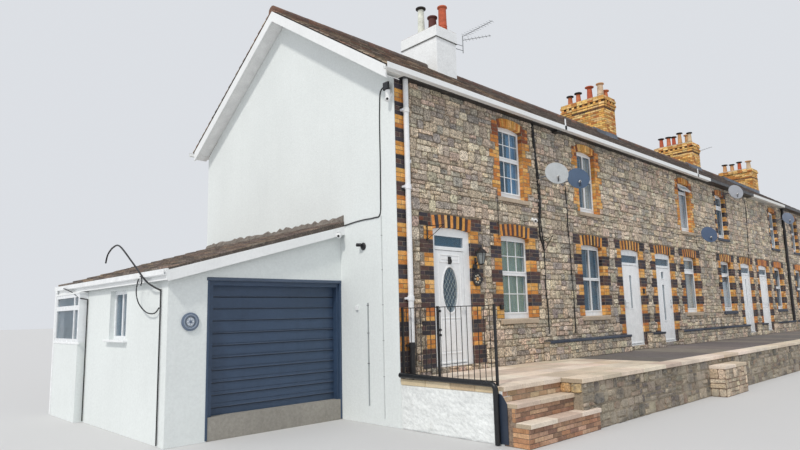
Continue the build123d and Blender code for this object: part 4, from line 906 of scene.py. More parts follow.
# aerials on the first and third stack
rods, GALV = Piece(T), srgb(150, 154, 158)
rods.tube([(5.64, 3.05, 8.21), (5.64, 3.05, 8.73)], 0.014, 8, GALV)
for z in (8.28, 8.42):
    rods.tube([(5.31, 3.1, z), (5.66, 3.05, z)], 0.009, 6, GALV)
for start, end, count, width in (((5.68, 3.05, 8.73), (5.52, 1.9, 8.7), 11, 0.28),
                                 ((5.66, 3.05, 8.6), (6.02, 2.35, 8.6), 8, 0.25),
                                 ((23.2, 3.17, 8.4), (23.27, 2.6, 8.49), 6, 0.25)):
    start, end = Vector(start), Vector(end)
    rods.tube([start, end], 0.009, 6, GALV)
    across = (end - start).cross(Vector(UP)).normalized()
    for i in range(count):
        p = start.lerp(end, (i + 0.7) / count)
        half = across * width / 2 * (1 - 0.35 * i / count)
        rods.tube([p - half, p + half], 0.0045, 5, GALV)
rods.make("aerials", "grey_dish", painted)

# gable coat, verge soffits and gutter fittings
gable, UNDER = Piece(), 0.25
gable.prism([(0, 0, 0), (0, DEPTH, 0), (0, DEPTH, roof_z(0) - UNDER), (0, RIDGE_Y, RIDGE_Z - UNDER),
             (0, 0, roof_z(0) - UNDER)], (-0.008, 0, 0), (0.004, 0, 0))
gable.make("gable_render_coat", "pale_render", render)

trim, BOARD_WHITE, BOARD_BLACK = Piece(T), srgb(240, 241, 241), srgb(36, 36, 38)
for ends in ((-0.145, RIDGE_Y), (RIDGE_Y, DEPTH + 0.145)):
    (ya, za), (yb, zb) = [(y, roof_z(y) - T - 0.216) for y in ends]
    trim.prism([(-0.298, ya, za - 0.012), (-0.298, yb, zb - 0.012), (-0.298, yb, zb + 0.002),
                (-0.298, ya, za + 0.002)], (0, 0, 0), (0.296, 0, 0), BOARD_WHITE)
for x in (5.2, 13.09):
    trim.box((x - 0.022, -0.283, 5.15), (x + 0.022, -0.268, 5.34), BOARD_WHITE, 0.004)
    trim.box((x - 0.045, -0.287, 5.068), (x + 0.045, -0.27, 5.175), BOARD_WHITE, 0.004)
trim.box((5.0, -0.168, 5.02), (5.16, -0.012, 5.078), BOARD_BLACK, 0.006)
x = -0.1
while x < LENGTH:
    tone = BOARD_WHITE if x < 14.03 or 18.45 < x < 22.43 else srgb(38, 38, 40)
    trim.box((x, -0.286, 5.072), (x + 0.035, -0.172, 5.085), tone, 0.002)
    trim.box((x, -0.2868, 5.075), (x + 0.035, -0.279, 5.168), tone, 0.002)
    x += 0.91
# one rounded bead along each gutter run's outer edge
for a, b, tone in ((-0.4, 14.03, BOARD_WHITE), (14.05, 18.44, BOARD_BLACK),
                   (18.46, 22.42, srgb(222, 222, 218)), (22.44, LENGTH, BOARD_BLACK)):
    trim.tube([(a, -0.279, 5.164), (b, -0.279, 5.164)], 0.0075, 8, tone)
trim.make("verge_soffit_and_gutter_fittings", "white_boards", painted)

# pipes down the walls
pipes, PIPE_WHITE, PIPE_BLACK = Piece(T), srgb(232, 234, 236), srgb(34, 34, 37)
REAR_PIPE = (DEPTH + 0.07, 0.05, -T, 5.1, PIPE_WHITE, [-0.3, 1.6, 3.5])
for x, y, r, z0, z1, tone, sockets in ((0.215, -0.07, 0.05, -0.11, 0.47, PIPE_BLACK, [0.42]),
                                       (0.215, -0.07, 0.048, 0.465, 5.1, PIPE_WHITE, [1.2, 3.12, 4.5]),
                                       (SOIL_PIPE_X, -0.075, 0.055, -0.11, 5.1, PIPE_BLACK, [0.5, 2.3, 4.1]),
                                       (4.97, *REAR_PIPE), (14.07, *REAR_PIPE), (23.17, *REAR_PIPE)):
    pipes.lathe((x, y, z0), [(r, 0.0), (r, z1 - z0)], 20, tone)
    wall = 0.0 if y < 1 else DEPTH
    for z in sockets:
        pipes.lathe((x, y, z - 0.045), [(r - 0.002, 0.0), (r + 0.011, 0.006), (r + 0.011, 0.084),
                                        (r - 0.002, 0.09)], 20, vary(tone, 0.03))
        pipes.box((x - r - 0.04, min(y, wall), z - 0.018), (x + r + 0.04, max(y, wall), z + 0.018),
                  vary(tone, 0.03), 0.003)
pipes.box((0.275, -0.04, 3.57), (0.345, -0.002, 3.63), PIPE_WHITE, 0.006)
pipes.make("downpipes_and_sockets", "white_boards", painted, replaces=["downpipes"])

# dishes
dishes, FACING = Piece(T), Vector((-0.62, -0.75, 0.25)).normalized()
PALE_DISH, SLATE_DISH, BLACK_ARM, GREY_ARM = shades((176, 180, 184), (70, 88, 116), (44, 46, 52),
                                                    (120, 124, 130))
BOWL_R, BOWL_DEPTH, BOWL_T = 0.26, 0.055, 0.008
# each dish: x, height over the sill, reach from the wall, colour
for x, z, reach, tone in ((4.45, 3.89, 0.4, PALE_DISH), (5.35, 3.9, 0.4, SLATE_DISH),
                          (13.1, 3.18, 0.4, SLATE_DISH), (15.88, 4.88, 0.44, srgb(150, 154, 162)),
                          (22.25, 4.54, 0.4, srgb(110, 120, 136))):
    centre = Vector((x, -reach, z))
    bowl = [(max(BOWL_R * k / 10, 0.001), BOWL_DEPTH * (k / 10) ** 2) for k in range(11)]
    profile = [(r, h + BOWL_T) for r, h in bowl[::-1]] + bowl[1:-1] + [(BOWL_R - 0.002, BOWL_DEPTH)]
    dishes.lathe(centre, profile + profile[:1], 40, tone, FACING)
    dishes.lathe(centre + FACING * BOWL_DEPTH, [(BOWL_R - 0.004, 0.0), (BOWL_R, 0.003),
                                                (BOWL_R - 0.001, 0.009), (BOWL_R - 0.006, 0.01)], 40,
                 vary(tone, 0.05), FACING)
    # the back bracket, the arm to the wall, its plate with four bolts, and the arm that holds the pick-up
    dishes.lathe(centre - FACING * 0.05, [(0.045, 0.0), (0.05, 0.01), (0.05, 0.045), (0.03, 0.05)], 16,
                 BLACK_ARM, FACING)
    dishes.tube([(x, -0.01, z), (x, -reach + 0.035, z)], 0.018, 12, GREY_ARM)
    dishes.box((x - 0.06, -0.012, z - 0.08), (x + 0.06, -0.001, z + 0.08), GREY_ARM, 0.003)
    for a, b in ((-0.04, -0.06), (-0.04, 0.06), (0.04, -0.06), (0.04, 0.06)):
        dishes.lathe((x + a, -0.012, z + b), [(0.008, 0.0), (0.008, 0.006), (0.004, 0.008)], 6, BLACK_ARM,
                     OUT)
    down = (FACING * FACING.z - Vector(UP)).normalized()
    foot, horn = centre + down * (BOWL_R - 0.03) + FACING * 0.04, centre + FACING * 0.17 + down * 0.115
    dishes.tube([centre + down * 0.12 + FACING * 0.004, foot, horn], 0.009, 8, BLACK_ARM)
    dishes.lathe(horn - FACING * 0.02, [(0.016, 0.0), (0.026, 0.008), (0.028, 0.05), (0.018, 0.06)], 16,
                 srgb(206, 208, 208), -FACING)
dishes.make("wall_dishes", "grey_dish", painted, smooth=True, replaces=["satellite_dishes"])

# lantern beside the first door
IRON, LX, LY = srgb(30, 30, 33), 2.04, -0.15
lantern = Piece(T + 1.835)


def hexagon(r, z):
    return [(LX + r * math.cos(math.radians(60 * k)), LY + r * math.sin(math.radians(60 * k)), z)
            for k in range(6)]


for low, high in zip(hexagon(0.052, 0.012), hexagon(0.092, 0.222)):
    lantern.tube([low, high], 0.0055, 6, IRON)
lantern.loft(hexagon(0.049, 0.014), hexagon(0.088, 0.22), srgb(132, 138, 138))
lantern.lathe((LX, LY, -0.012), [(0.012, 0.0), (0.02, 0.004), (0.05, 0.018), (0.056, 0.026), (0.05, 0.03)],
              12, IRON)
lantern.lathe((LX, LY, 0.22), [(0.09, 0.0), (0.112, 0.004), (0.113, 0.014), (0.08, 0.05), (0.045, 0.085),
                               (0.024, 0.1), (0.016, 0.112), (0.02, 0.118), (0.008, 0.12)], 18, IRON)
lantern.tube([(LX, -0.012, 0.035), (LX, -0.05, 0.06), (LX, -0.11, 0.062), (LX, -0.15, 0.03)], 0.01, 8, IRON)
lantern.tube([(LX, -0.012, 0.0), (LX, -0.06, -0.008), (LX, -0.095, 0.0)], 0.006, 8, IRON)
lantern.box((LX - 0.032, -0.015, -0.015), (LX + 0.032, -0.001, 0.14), IRON, 0.006)
lantern.make("wall_lantern_glazed", "black_iron", painted, smooth=True, replaces=["wall_lantern"])

# window sashes
rng.seed(31)
sashes, rails = Piece(), Piece()
WHITE, SASH, FACE_Y, GLASS_Y = srgb(240, 242, 243), 0.032, 0.1, 0.12


def bar(x0, x1, z0, z1):
    sashes.box((x0, FACE_Y + 0.006, z0), (x1, GLASS_Y + 0.004, z1), WHITE, 0.003)


def sash(x0, x1, z0, z1):
    """The rim of one light, standing proud of the frame round its glass, with a dark gasket line inside."""
    sashes.rim(x0, x1, z0, z1, SASH, FACE_Y - 0.012, FACE_Y + 0.01, WHITE)
    sashes.rim(x0 + 0.007, x1 - 0.007, z0 + 0.007, z1 - 0.007, 0.008, GLASS_Y - 0.004, GLASS_Y + 0.004,
               srgb(70, 72, 74), 0.001)


def lights(x, half, foot, head, transom, face, uprights):
    """The two rows of lights of a window, each split by its uprights."""
    stops = [x - half] + [x + s * 0.025 for s in (-1, 1)] * uprights + [x + half]
    return [(a, b, z0, z1) for z0, z1 in ((foot, transom - face / 2), (transom + face / 2, head))
            for a, b in zip(stops[0::2], stops[1::2])]


for k, x in enumerate(WINDOWS):
    (low, *low_split), (high, *high_split) = LOW_LIGHTS[k], HIGH_LIGHTS[k]
    low_cells = lights(x, 0.425, T + 0.93, T + 2.385, LOW_SILL + low, *low_split)
    high_cells = lights(x, 0.35, T + 3.42, T + 4.72, HIGH_SILL + high, *high_split)
    for cell in low_cells:
        sash(*cell)
    for x0, x1, z0, z1 in (low_cells + high_cells) * (k == 0):
        for share in (1 / 3, 2 / 3):
            bar(x0 + (x1 - x0) * share - 0.009, x0 + (x1 - x0) * share + 0.009, z0, z1)
        bar(x0, x1, (z0 + z1) / 2 - 0.009, (z0 + z1) / 2 + 0.009)
    for cell in high_cells:
        if k != 2 or cell[3] < T + 4.6:
            sash(*cell)
# the top light of the third house's upper window is open: its frame hangs out from its top edge
x0, x1, DROP, TILT = WINDOWS[2] - 0.35, WINDOWS[2] + 0.35, 0.25, math.radians(38)
OPEN_LIGHT = [(x0 - 0.03, x0 + 0.012, 0, DROP, 0.0, 0.04, WHITE),
              (x1 - 0.012, x1 + 0.03, 0, DROP, 0.0, 0.04, WHITE),
              (x0, x1, 0, 0.042, 0.0, 0.04, WHITE), (x0, x1, DROP - 0.042, DROP, 0.0, 0.04, WHITE),
              (x0 + 0.01, x1 - 0.01, 0.04, DROP - 0.04, 0.016, 0.022, srgb(160, 178, 188))]
for a, b, c, d, near, far, tone in OPEN_LIGHT:
    sashes.add([(x, FACE_Y - 0.006 - down * math.sin(TILT) - out * math.cos(TILT),
                 T + 4.76 - down * math.cos(TILT) + out * math.sin(TILT))
                for x in (a, b) for down in (c, d) for out in (near, far)], BOX_FACES, tone)
sashes.make("window_sashes_and_bars", "white_upvc", painted)


# curtains
def curtain(name, x0, x1, z0, z1, colour, folds):
    """A hung curtain: a sheet that waves in and out, a little deeper towards its foot."""
    piece, columns, rows, y = Piece(), folds * 8, 10, 0.195
    lean = [rng.uniform(0.6, 1.4) for _ in range(folds + 1)]

    def wave(u, t):
        i = min(int(u * folds), folds - 1)
        size = lean[i] + (lean[i + 1] - lean[i]) * (u * folds - i)
        return math.sin(u * folds * 2 * math.pi) * 0.014 * size * (0.55 + 0.45 * t)

    v = [(x0 + (x1 - x0) * i / columns, y + wave(i / columns, 1 - j / rows) + side, z0 + (z1 - z0) * j / rows)
         for side in (-0.0012, 0.0012) for j in range(rows + 1) for i in range(columns + 1)]
    piece.add(v, sheet_faces(columns, rows), colour)
    obj = piece.make(name, "white_upvc", cloth, smooth=True)
    width = sum(math.dist(v[i], v[i + 1]) for j in (0, rows)
                for i in range(j * (columns + 1), (j + 1) * (columns + 1) - 1)) / 2
    rails.tube([(x0 - 0.01, y, z1 + 0.004), (x1 + 0.01, y, z1 + 0.004)], 0.007, 8, srgb(196, 192, 184))


# the first house's upper curtains are blue: a bluish net, made bluer as a painted reflection of the sky in
# the panes
NET, BEIGE, SAGE, SKY_REFLECTION_BLUE = shades((240, 240, 238), (232, 222, 200), (196, 206, 158), (138, 186, 228))
LOW, HIGH = (LOW_SILL + 0.03, T + 2.42), (HIGH_SILL + 0.03, T + 4.75)
# each curtain: name, window, ends from the window's middle, foot and head, colour, folds
for name, k, a, b, (z0, z1), colour, folds in (
        ("low_1", 0, -0.47, 0.47, LOW, SAGE, 9), ("high_1_left", 0, -0.39, -0.22, HIGH, SKY_REFLECTION_BLUE, 3),
        ("high_1_right", 0, 0.1, 0.39, HIGH, SKY_REFLECTION_BLUE, 4), ("high_2", 1, 0.06, 0.39, HIGH, BEIGE, 4),
        ("high_3", 2, -0.39, 0.39, (HIGH[0], T + 4.5), NET, 7), ("high_4", 3, -0.39, 0.1, HIGH, NET, 5),
        ("low_3", 2, 0.08, 0.47, LOW, BEIGE, 4), ("low_4", 3, -0.47, 0.47, (LOW[0], T + 1.8), NET, 8),
        ("high_5", 4, -0.39, 0.39, HIGH, NET, 7)):
    curtain("curtain_" + name, WINDOWS[k] + a, WINDOWS[k] + b, z0, z1, colour, folds)
rails.make("curtain_rails", "white_upvc", painted)

# door furniture, on the leaves
LEAF_Y, LEAF_Z = 0.048, 0.038
BACK_Y = LEAF_Y + 0.004


def ring(piece, cx, cz, rx, rz, w, y0, y1, tone, sides=48):
    """An oval moulding: flat rings joined by their edges."""
    v = [(cx + (rx + grow) * math.cos(a), y, cz + (rz + grow) * math.sin(a))
         for grow, y in ((0, y1), (0, y0 + 0.004), (w * 0.3, y0), (w * 0.7, y0), (w, y0 + 0.004), (w, y1))
         for a in turns(sides)]
    piece.add(v, band(6, sides, True), tone)


def panel(piece, x0, x1, z0, z1, w, proud, field=0.0, chamfer=0.004):
    """A raised frame on a leaf, with a raised field inside it if asked."""
    piece.rim(x0, x1, z0, z1, w, LEAF_Y - proud, BACK_Y, WHITE)
    if field:
        piece.box((x0 + 0.03, LEAF_Y - field, z0 + 0.03), (x1 - 0.03, BACK_Y, z1 - 0.03), WHITE, chamfer)


# the frames round the small panes: shift from the leaf's middle, height, width and tallness, by door
PANES = {1: [(-0.01, 1.35, 0.11, 0.86)], 2: [(-0.03, 1.84, 0.16, 0.19), (-0.03, 1.065, 0.14, 1.0)],
         3: [(0, 1.39, 0.11, 1.0)], 5: [(0, 1.39, 0.11, 1.0)]}
for k, x in enumerate(DOORS):
    name, moulding = f"front_door_{k + 1}", Piece(T)
    (lx0, _, _), (lx1, _, _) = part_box(name)
    if k == 0:
        (gx0, _, _), (gx1, _, _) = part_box("front_door_1_glass")
        cx, cz, rx, rz = (gx0 + gx1) / 2, LEAF_Z + 1.325, 0.205, 0.42
        ring(moulding, cx, cz, rx - 0.006, rz - 0.006, 0.034, LEAF_Y - 0.01, BACK_Y, WHITE)
        for z0, z1 in ((0.2, 0.8), (1.84, 1.95)):
            panel(moulding, cx - 0.26, cx + 0.26, LEAF_Z + z0, LEAF_Z + z1, 0.022, 0.008, 0.005)
        panel(moulding, cx - 0.285, cx + 0.285, cz - 0.5, cz + 0.49, 0.016, 0.006)
        # lead strips across the oval glass in two slanting families
        steep, step = math.radians(58), 0.075
        for sign in (-1, 1):
            ux, uz = math.cos(steep), sign * math.sin(steep)
            for i in range(-6, 7):
                px, pz = -uz * step * i, ux * step * i
                a = (ux / rx) ** 2 + (uz / rz) ** 2
                b = 2 * (px * ux / rx ** 2 + pz * uz / rz ** 2)
                under = b * b - 4 * a * ((px / rx) ** 2 + (pz / rz) ** 2 - 0.97)
                if under > 0:
                    moulding.tube([(cx + px + ux * t, LEAF_Y + 0.01, cz + pz + uz * t) for t in
                                   ((-b - math.sqrt(under)) / (2 * a), (-b + math.sqrt(under)) / (2 * a))],
                                  0.0032, 4, srgb(188, 192, 186))
        moulding.box((cx - 0.045, LEAF_Y - 0.012, 1.83), (cx + 0.045, LEAF_Y - 0.001, 1.97), srgb(34, 34, 36),
                     0.014)
        for z in (1.94, 1.86):
            moulding.lathe((cx, LEAF_Y - 0.026, z), [(0.014, 0.0), (0.03, 0.004), (0.032, 0.014),
                                                     (0.02, 0.018)], 16, srgb(44, 44, 46), (0, 1, 0))
        ring(moulding, cx, 1.885, 0.03, 0.042, 0.01, LEAF_Y - 0.034, LEAF_Y - 0.022, srgb(60, 60, 62), 24)
    for dx, cz, w, h in PANES.get(k, []):
        panel(moulding, x + dx - w / 2, x + dx + w / 2, LEAF_Z + cz - h / 2, LEAF_Z + cz + h / 2, 0.026,
              0.009)
    if k == 1:
        for a in (lx0 + 0.03 + i * 0.1355 for i in range(6)):
            for p0, p1, q0, q1 in subtract((a, a + 0.1295, LEAF_Z + 0.02, LEAF_Z + 2.02),
                                           [(x - 0.095, x + 0.075, LEAF_Z + 0.89, LEAF_Z + 1.81)]):
                if p1 - p0 > 0.012:
                    moulding.box((p0, LEAF_Y - 0.004, q0), (p1, BACK_Y, q1), WHITE, 0.002)
    if k == 4:
        for cx in (x - 0.19, x + 0.19):
            for z0, z1 in ((0.2, 0.86), (1.02, 1.88)):
                panel(moulding, cx - 0.12, cx + 0.12, LEAF_Z + z0, LEAF_Z + z1, 0.018, 0.008, 0.006, 0.005)
    if k:
        # a long plate with a lever that points away from the free edge
        free = -1 if k % 2 else 1
        hx, hz = x + free * 0.382, LEAF_Z + 1.03
        moulding.box((hx - 0.018, LEAF_Y - 0.014, hz - 0.11), (hx + 0.018, LEAF_Y - 0.001, hz + 0.11),
                     srgb(176, 178, 180), 0.006)
        moulding.tube([(hx, LEAF_Y - 0.012, hz + 0.03), (hx, LEAF_Y - 0.042, hz + 0.03),
                       (hx - free * 0.1, LEAF_Y - 0.044, hz + 0.03)], 0.008, 8, srgb(186, 188, 190))
    moulding.box((lx0 + 0.012, LEAF_Y - 0.02, LEAF_Z + 0.012), (lx1 - 0.012, LEAF_Y - 0.001, LEAF_Z + 0.042),
                 WHITE, 0.006)
    moulding.make(name + "_mouldings", "door_leaf", painted, body=name)

# cables clipped to the front wall and gable
cables, fixed, CAMERA = Piece(T), Piece(T), srgb(232, 234, 234)
CABLE, WALL_Y = srgb(30, 30, 32), -0.03
# each run: its radius, and its points as (x, height over the sill)
RUNS = [
    (0.019, (4.17, 5.06), (4.2, 4.71), (4.24, 4.26), (4.27, 3.81), (4.3, 3.36), (4.26, 2.96), (4.26, 2.58),
     (4.39, 2.26)),
    (0.013, (4.23, 5.06), (4.27, 4.4), (4.33, 3.85), (4.35, 3.3), (4.31, 2.9), (4.4, 2.3)),
    (0.013, (4.39, 2.26), (4.38, 1.82), (4.37, 1.39), (4.41, 0.96), (4.4, 0.45)),
    (0.013, (5.42, 3.8), (5.44, 3.26), (5.43, 2.78), (5.46, 2.32), (5.46, 1.63), (5.49, 1.17), (5.48, 0.42)),
    (0.006, (2.79, 3.29), (2.8, 2.88), (2.79, 2.37)),
    (0.012, (18.15, 4.94), (18.26, 4.56), (18.19, 3.98), (18.12, 3.41), (18.01, 2.72)),
    (0.007, (14.95, 3.36), (14.86, 2.9), (14.7, 2.43)),
    (0.006, (13.1, 3.1), (13.22, 2.86), (14.1, 2.74), (14.7, 2.72))]
for radius, *points in RUNS:
    cables.bent([(x, WALL_Y, z) for x, z in points], radius, 7, CABLE, 4)
    for (xa, za), (xb, zb) in zip(points, points[1:]):
        for t in (0.3, 0.8):
            x, z, w = xa + (xb - xa) * t, za + (zb - za) * t, radius + 0.006
            cables.box((x - w, WALL_Y - radius - 0.002, z - 0.005), (x + w, -0.004, z + 0.005), CABLE, 0.002)
# down the gable, as (y, height over the sill)
gable_run = ((0.2, 4.98), (0.34, 4.9), (0.37, 4.6), (0.38, 4.2), (0.38, 3.65), (0.39, 3.11), (0.41, 2.69),
             (0.57, 2.64), (0.84, 2.64), (1.09, 2.63), (1.42, 2.6))
cables.bent([(-0.015, y, z) for y, z in gable_run], 0.012, 7, srgb(36, 38, 40), 4)
cables.tube([(-0.014, 0.385, 2.65), (-0.014, 0.387, -0.78)], 0.009, 8, srgb(196, 200, 200))
cables.tube([(-0.016, 0.775, 1.15), (-0.016, 0.775, -0.6)], 0.012, 8, srgb(150, 156, 158))
for z in (2.3, 1.7, 1.1, 0.5, -0.1):
    cables.box((-0.026, 0.372, z), (-0.006, 0.4, z + 0.012), srgb(150, 154, 154), 0.002)
for z in (1.1, 0.62, 0.1):
    cables.box((-0.032, 0.757, z), (-0.006, 0.793, z + 0.016), srgb(120, 124, 126), 0.002)
cables.make("clipped_cables", "black_plastic", painted)

# things fixed to the front wall and gable
# ball cameras, each on a round base: centre, and the point of the wall behind it
LOOK = Vector((-0.7, -0.6, -0.25)).normalized()
for centre, wall in (((4.0, -0.105, 2.86), (4.0, -0.022, 2.9)), ((-0.105, 0.06, 4.67), (-0.012, 0.06, 4.77)),
                     ((-0.17, 1.385, 2.4), (-0.17, 1.404, 2.47))):
    centre, wall = Vector(centre), Vector(wall)
    way = centre - wall
    fixed.lathe(wall, [(0.042, 0.0), (0.042, 0.012), (0.028, 0.022), (0.02, way.length)], 18, CAMERA,
                way.normalized())
    fixed.lathe(centre - Vector((0, 0, 0.05)), [(max(0.001, 0.05 * math.sin(a)), 0.05 - 0.05 * math.cos(a))
                                                for a in (math.pi * k / 8 for k in range(9))], 18, CAMERA)
    fixed.lathe(centre + LOOK * 0.04, [(0.022, 0.0), (0.022, 0.012), (0.016, 0.014)], 14, srgb(30, 30, 34),
                LOOK)
fixed.lathe((-0.085, 0.07, 4.71), [(0.04, 0.0), (0.044, 0.01), (0.044, 0.12), (0.036, 0.13)], 16, CAMERA)
# brackets, such as carry a hanging basket: a wall bar, an arm and a brace
for x, z0, z1, tip, mid in ((0.71, 2.21, 2.5, (0.77, -0.36, 2.47), (0.74, -0.22, 2.36)),
                            (4.4, 2.2, 2.48, (4.31, -0.31, 2.53), (4.36, -0.18, 2.4)),
                            (14.8, 1.62, 1.92, (14.76, -0.3, 1.93), (14.78, -0.18, 1.82))):
    fixed.box((x - 0.012, -0.03, z0), (x + 0.012, -0.022, z1), IRON, 0.002)
    for z in (z0 + 0.02, z1 - 0.04):
        fixed.box((x - 0.008, -0.024, z), (x + 0.008, -0.001, z + 0.02), IRON, 0.002)
    fixed.tube([(x, -0.028, z1 - 0.02), tip], 0.007, 8, IRON)
    fixed.tube([(x, -0.028, z0 + 0.03), mid, tip], 0.006, 8, IRON)
    fixed.lathe(Vector(tip) - Vector((0, 0, 0.012)), [(0.004, 0.0), (0.014, 0.008), (0.014, 0.018),
                                                      (0.004, 0.026)], 12, IRON)


def rosette(piece, x, y, z, reach, angles, petal, tone, boss, boss_tone):
    """A ring of small petals round a boss, on a wall that faces -Y."""
    for a in angles:
        piece.lathe((x + reach * math.cos(a), y, z + reach * math.sin(a)), petal, 8, tone, OUT)
    piece.lathe((x, y, z), boss, 12, boss_tone, OUT)


# a round plaque with a plain relief, and the small dark fittings beside the doors
fixed.lathe((2.05, -0.02, 1.57), [(0.128, 0.0), (0.135, 0.006), (0.135, 0.016), (0.126, 0.02), (0.118, 0.016),
                                   (0.112, 0.013)], 32, srgb(34, 34, 36), OUT)
rosette(fixed, 2.05, -0.034, 1.57, 0.07, [math.radians(25 + 52 * k) for k in range(7)],
        [(0.02, 0.0), (0.017, 0.006), (0.006, 0.009)], srgb(186, 178, 160),
        [(0.036, 0.0), (0.03, 0.01), (0.01, 0.014)], srgb(196, 148, 90))
fixed.lathe((1.985, -0.018, 1.8), [(0.052, 0.0), (0.056, 0.01), (0.05, 0.04), (0.03, 0.055)], 16, IRON, OUT)
fixed.box((2.71, -0.075, 0.98), (2.8, -0.014, 1.08), IRON, 0.014)
fixed.box((9.06, -0.05, 1.34), (9.12, -0.014, 1.48), IRON, 0.006)
# floodlight, wall spot and junction box on the gable
fixed.box((-0.115, 0.03, 4.85), (-0.075, 0.17, 4.99), IRON, 0.006)
fixed.box((-0.119, 0.042, 4.862), (-0.112, 0.158, 4.978), srgb(52, 54, 58), 0.003)
fixed.tube([(-0.08, 0.1, 4.92), (-0.03, 0.1, 4.9), (-0.008, 0.1, 4.9)], 0.012, 8, IRON)
fixed.lathe((-0.008, 0.88, 2.16), [(0.066, 0.0), (0.07, 0.01), (0.055, 0.028), (0.03, 0.036)], 20, IRON,
            (-1, 0, 0))
fixed.tube([(-0.04, 0.88, 2.16), (-0.075, 0.88, 2.175), (-0.075, 0.9, 2.19)], 0.014, 8, IRON)
fixed.lathe((-0.075, 0.86, 2.18), [(0.026, 0.0), (0.032, 0.02), (0.03, 0.09), (0.034, 0.1), (0.026, 0.104)],
            14, IRON, (-0.2, 1.0, 0.1))
fixed.box((-0.045, 1.04, 1.03), (-0.006, 1.1, 1.11), CAMERA, 0.006)
# railing catches
for z in (0.97, 0.68, 0.6):
    fixed.lathe((0.03, -0.91, z), [(0.01, 0.0), (0.02, 0.006), (0.02, 0.05), (0.01, 0.056)], 12, IRON,
                (0, 1, 0))
fixed.make("wall_fixtures", "black_iron", painted)

# garage
garage = Piece(T)
SLATE_BLUE, SLATE_GAP_SHADE, HOOD = shades((58, 76, 100), (26, 34, 48), (74, 88, 108))
garage.box((-2.66, 1.525, 1.53), (-0.005, 1.6, 1.585), HOOD, 0.01)
for x0, x1 in ((-2.645, -2.605), (-0.045, -0.008)):
    garage.box((x0, 1.532, -0.89), (x1, 1.6, 1.53), SLATE_BLUE, 0.006)
# the leaf's ribbed sections, with a dark line where they meet: painted shade in the gap between them
for z in (1.28, 1.09, 0.9, 0.7, 0.51, 0.32, 0.13, -0.06, -0.25, -0.44, -0.63):
    garage.box((-2.52, 1.672, z - 0.004), (-0.1, 1.69, z + 0.004), SLATE_GAP_SHADE, 0.001)
    garage.box((-2.52, 1.676, z + 0.006), (-0.1, 1.69, z + 0.02), HOOD, 0.004)
# the round plaque beside it
PLAQUE_X, PLAQUE_Z = -2.92, 0.9
ring(garage, PLAQUE_X, PLAQUE_Z, 0.078, 0.078, 0.06, 1.512, 1.538, srgb(104, 118, 138), 32)
ring(garage, PLAQUE_X, PLAQUE_Z, 0.092, 0.092, 0.02, 1.504, 1.52, srgb(138, 150, 166), 32)
garage.lathe((PLAQUE_X, 1.524, PLAQUE_Z), [(0.066, 0.0), (0.066, 0.006), (0.058, 0.01), (0.04, 0.006),
                                           (0.03, 0.01)], 28, srgb(176, 186, 198), OUT)
rosette(garage, PLAQUE_X, 1.518, PLAQUE_Z, 0.044, [math.radians(60 * k) for k in range(6)],
        [(0.015, 0.0), (0.012, 0.006), (0.004, 0.009)], srgb(206, 212, 220),
        [(0.024, 0.0), (0.018, 0.009), (0.006, 0.012)], srgb(92, 106, 128))
# a ragged mortar fillet where the lean-to roof meets the gable
fillet, COUNT, FOOT = [], 48, LEAN_TOP + 0.02
for y in (1.44 + (6.94 - 1.44) * i / COUNT for i in range(COUNT + 1)):
    w, h = rng.uniform(0.04, 0.11), rng.uniform(0.05, 0.12)
    fillet += [(-0.004, y, FOOT + h), (-0.03, y, FOOT + h * 0.7), (-w, y, FOOT - w * 0.2),
               (-w, y, FOOT - 0.04), (-0.004, y, FOOT - 0.04)]
garage.skin(fillet, COUNT + 1, 5, srgb(128, 120, 112), 1)
# the gutter's section and its downpipe, and two window boards
gutter = ((-3.357, 1.685), (-3.357, 1.6), (-3.366, 1.588), (-3.395, 1.588), (-3.405, 1.6), (-3.405, 1.68),
          (-3.398, 1.68), (-3.398, 1.606), (-3.392, 1.597), (-3.37, 1.597), (-3.364, 1.606), (-3.364, 1.685))
garage.prism([(x, 1.41, z) for x, z in gutter], (0, 0, 0), (0, DEPTH - 1.41, 0), WHITE)
garage.lathe((-3.385, DEPTH - 0.12, -T), [(0.03, 0.0), (0.03, T + 1.6)], 16, WHITE)
garage.box((-3.35, 3.1, 0.585), (-3.262, 4.05, 0.625), WHITE, 0.006)
garage.box((-3.429, 5.16, 0.52), (-3.39, 6.74, 0.56), WHITE, 0.006)
# two poles with bent basket arms, turned along the wall
POLE_X = -3.29
for y, z in ((1.76, 1.4), (5.15, 1.37)):
    garage.tube([(POLE_X, y, z), (POLE_X, y, -0.88)], 0.011, 8, IRON)
# each arm: its radius, how finely it is divided, and its points
ARMS = [
    (0.014, 6, (POLE_X, 1.76, 1.38), (-3.36, 1.9, 1.45), (-3.405, 2.1, 1.56), (-3.415, 2.6, 1.86),
     (-3.415, 3.19, 2.18), (-3.415, 3.5, 2.2), (-3.415, 3.76, 2.1), (-3.415, 3.86, 1.95)),
    (0.01, 4, (-3.3, 1.78, 1.12), (-3.32, 1.9, 1.04), (-3.34, 2.16, 1.06), (-3.36, 2.42, 1.2),
     (-3.37, 2.52, 1.38), (-3.38, 2.44, 1.56), (-3.4, 2.28, 1.62), (-3.41, 2.2, 1.55), (-3.4, 2.26, 1.48)),
    (0.011, 4, (POLE_X, 5.15, 1.36), (-3.38, 5.17, 1.38), (-3.409, 5.26, 1.4), (-3.416, 5.7, 1.52),
     (-3.416, 6.26, 1.62))]
for radius, steps, *points in ARMS:
    garage.bent(points, radius, 8, IRON, steps)
garage.make("garage_trim", "slate_blue_paint", painted, stack_cement)

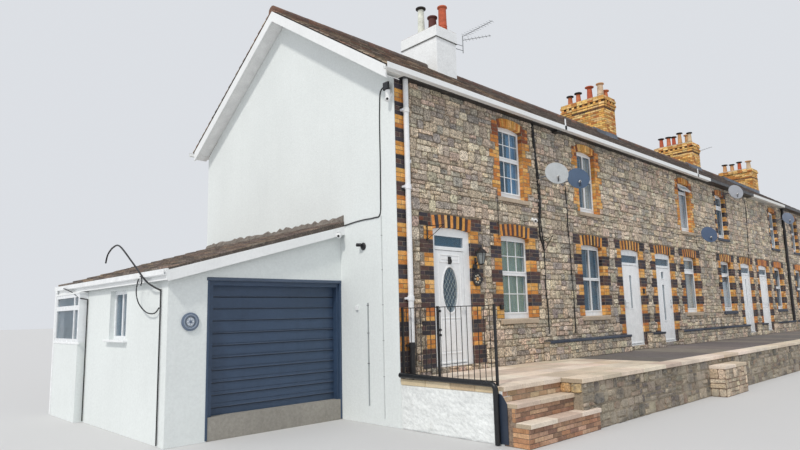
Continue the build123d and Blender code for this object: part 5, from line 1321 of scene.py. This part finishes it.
# floor, light and camera
def link(name, data):
    obj = bpy.data.objects.new(name, data)
    bpy.context.scene.collection.objects.link(obj)
    return obj


REACH, FLOOR_Z = 260.0, -0.002
floor = bpy.data.meshes.new("studio_floor")
corners = [(x * REACH, y * REACH, FLOOR_Z) for x, y in ((-1, -1), (1, -1), (1, 1), (-1, 1))]
floor.from_pydata(corners, [], [(0, 1, 2, 3)])
floor_mat = bpy.data.materials.new("studio_floor")
floor_mat.use_nodes = True
floor_inputs = floor_mat.node_tree.nodes["Principled BSDF"].inputs
floor_inputs["Base Color"].default_value = (0.6, 0.6, 0.6, 1)
floor_inputs["Roughness"].default_value = 0.9
floor.materials.append(floor_mat)
link("studio_floor", floor)

world = bpy.data.worlds.new("studio")
bpy.context.scene.world = world
world.use_nodes = True
back = world.node_tree.nodes["Background"]
back.inputs[0].default_value = (0.92, 0.95, 1.0, 1)
back.inputs[1].default_value = 0.78

sun = bpy.data.lights.new("key", "SUN")
sun.energy, sun.color, sun.angle = 1.7, (1.0, 0.96, 0.9), math.radians(6)
link("key", sun).rotation_euler = Vector((0.62, 0.24, -0.74)).to_track_quat("-Z", "Y").to_euler()

# the camera, fitted to the photo's straight edges
yaw, pitch, roll = 0.7656, 0.1452, -0.0243
forward = Vector((math.sin(yaw) * math.cos(pitch), math.cos(yaw) * math.cos(pitch), math.sin(pitch)))
right = Vector((math.cos(yaw), -math.sin(yaw), 0))
up = right.cross(forward)
across = right * math.cos(roll) + up * math.sin(roll)
upward = up * math.cos(roll) - right * math.sin(roll)
camera = bpy.data.cameras.new("camera")
PHOTO_W, FOCAL_PIXELS, SENSOR = 800, 611.25, 36
camera.sensor_width, camera.lens = SENSOR, FOCAL_PIXELS / PHOTO_W * SENSOR
camera.shift_y, camera.clip_end = 1 / PHOTO_W, 500
cam = link("camera", camera)
turned = Matrix((across, upward, -forward)).transposed().to_4x4()
cam.matrix_world = Matrix.Translation((-7.093, -7.449, 0.919 + T)) @ turned
bpy.context.scene.camera = cam
bpy.context.scene.view_settings.view_transform = "Standard"
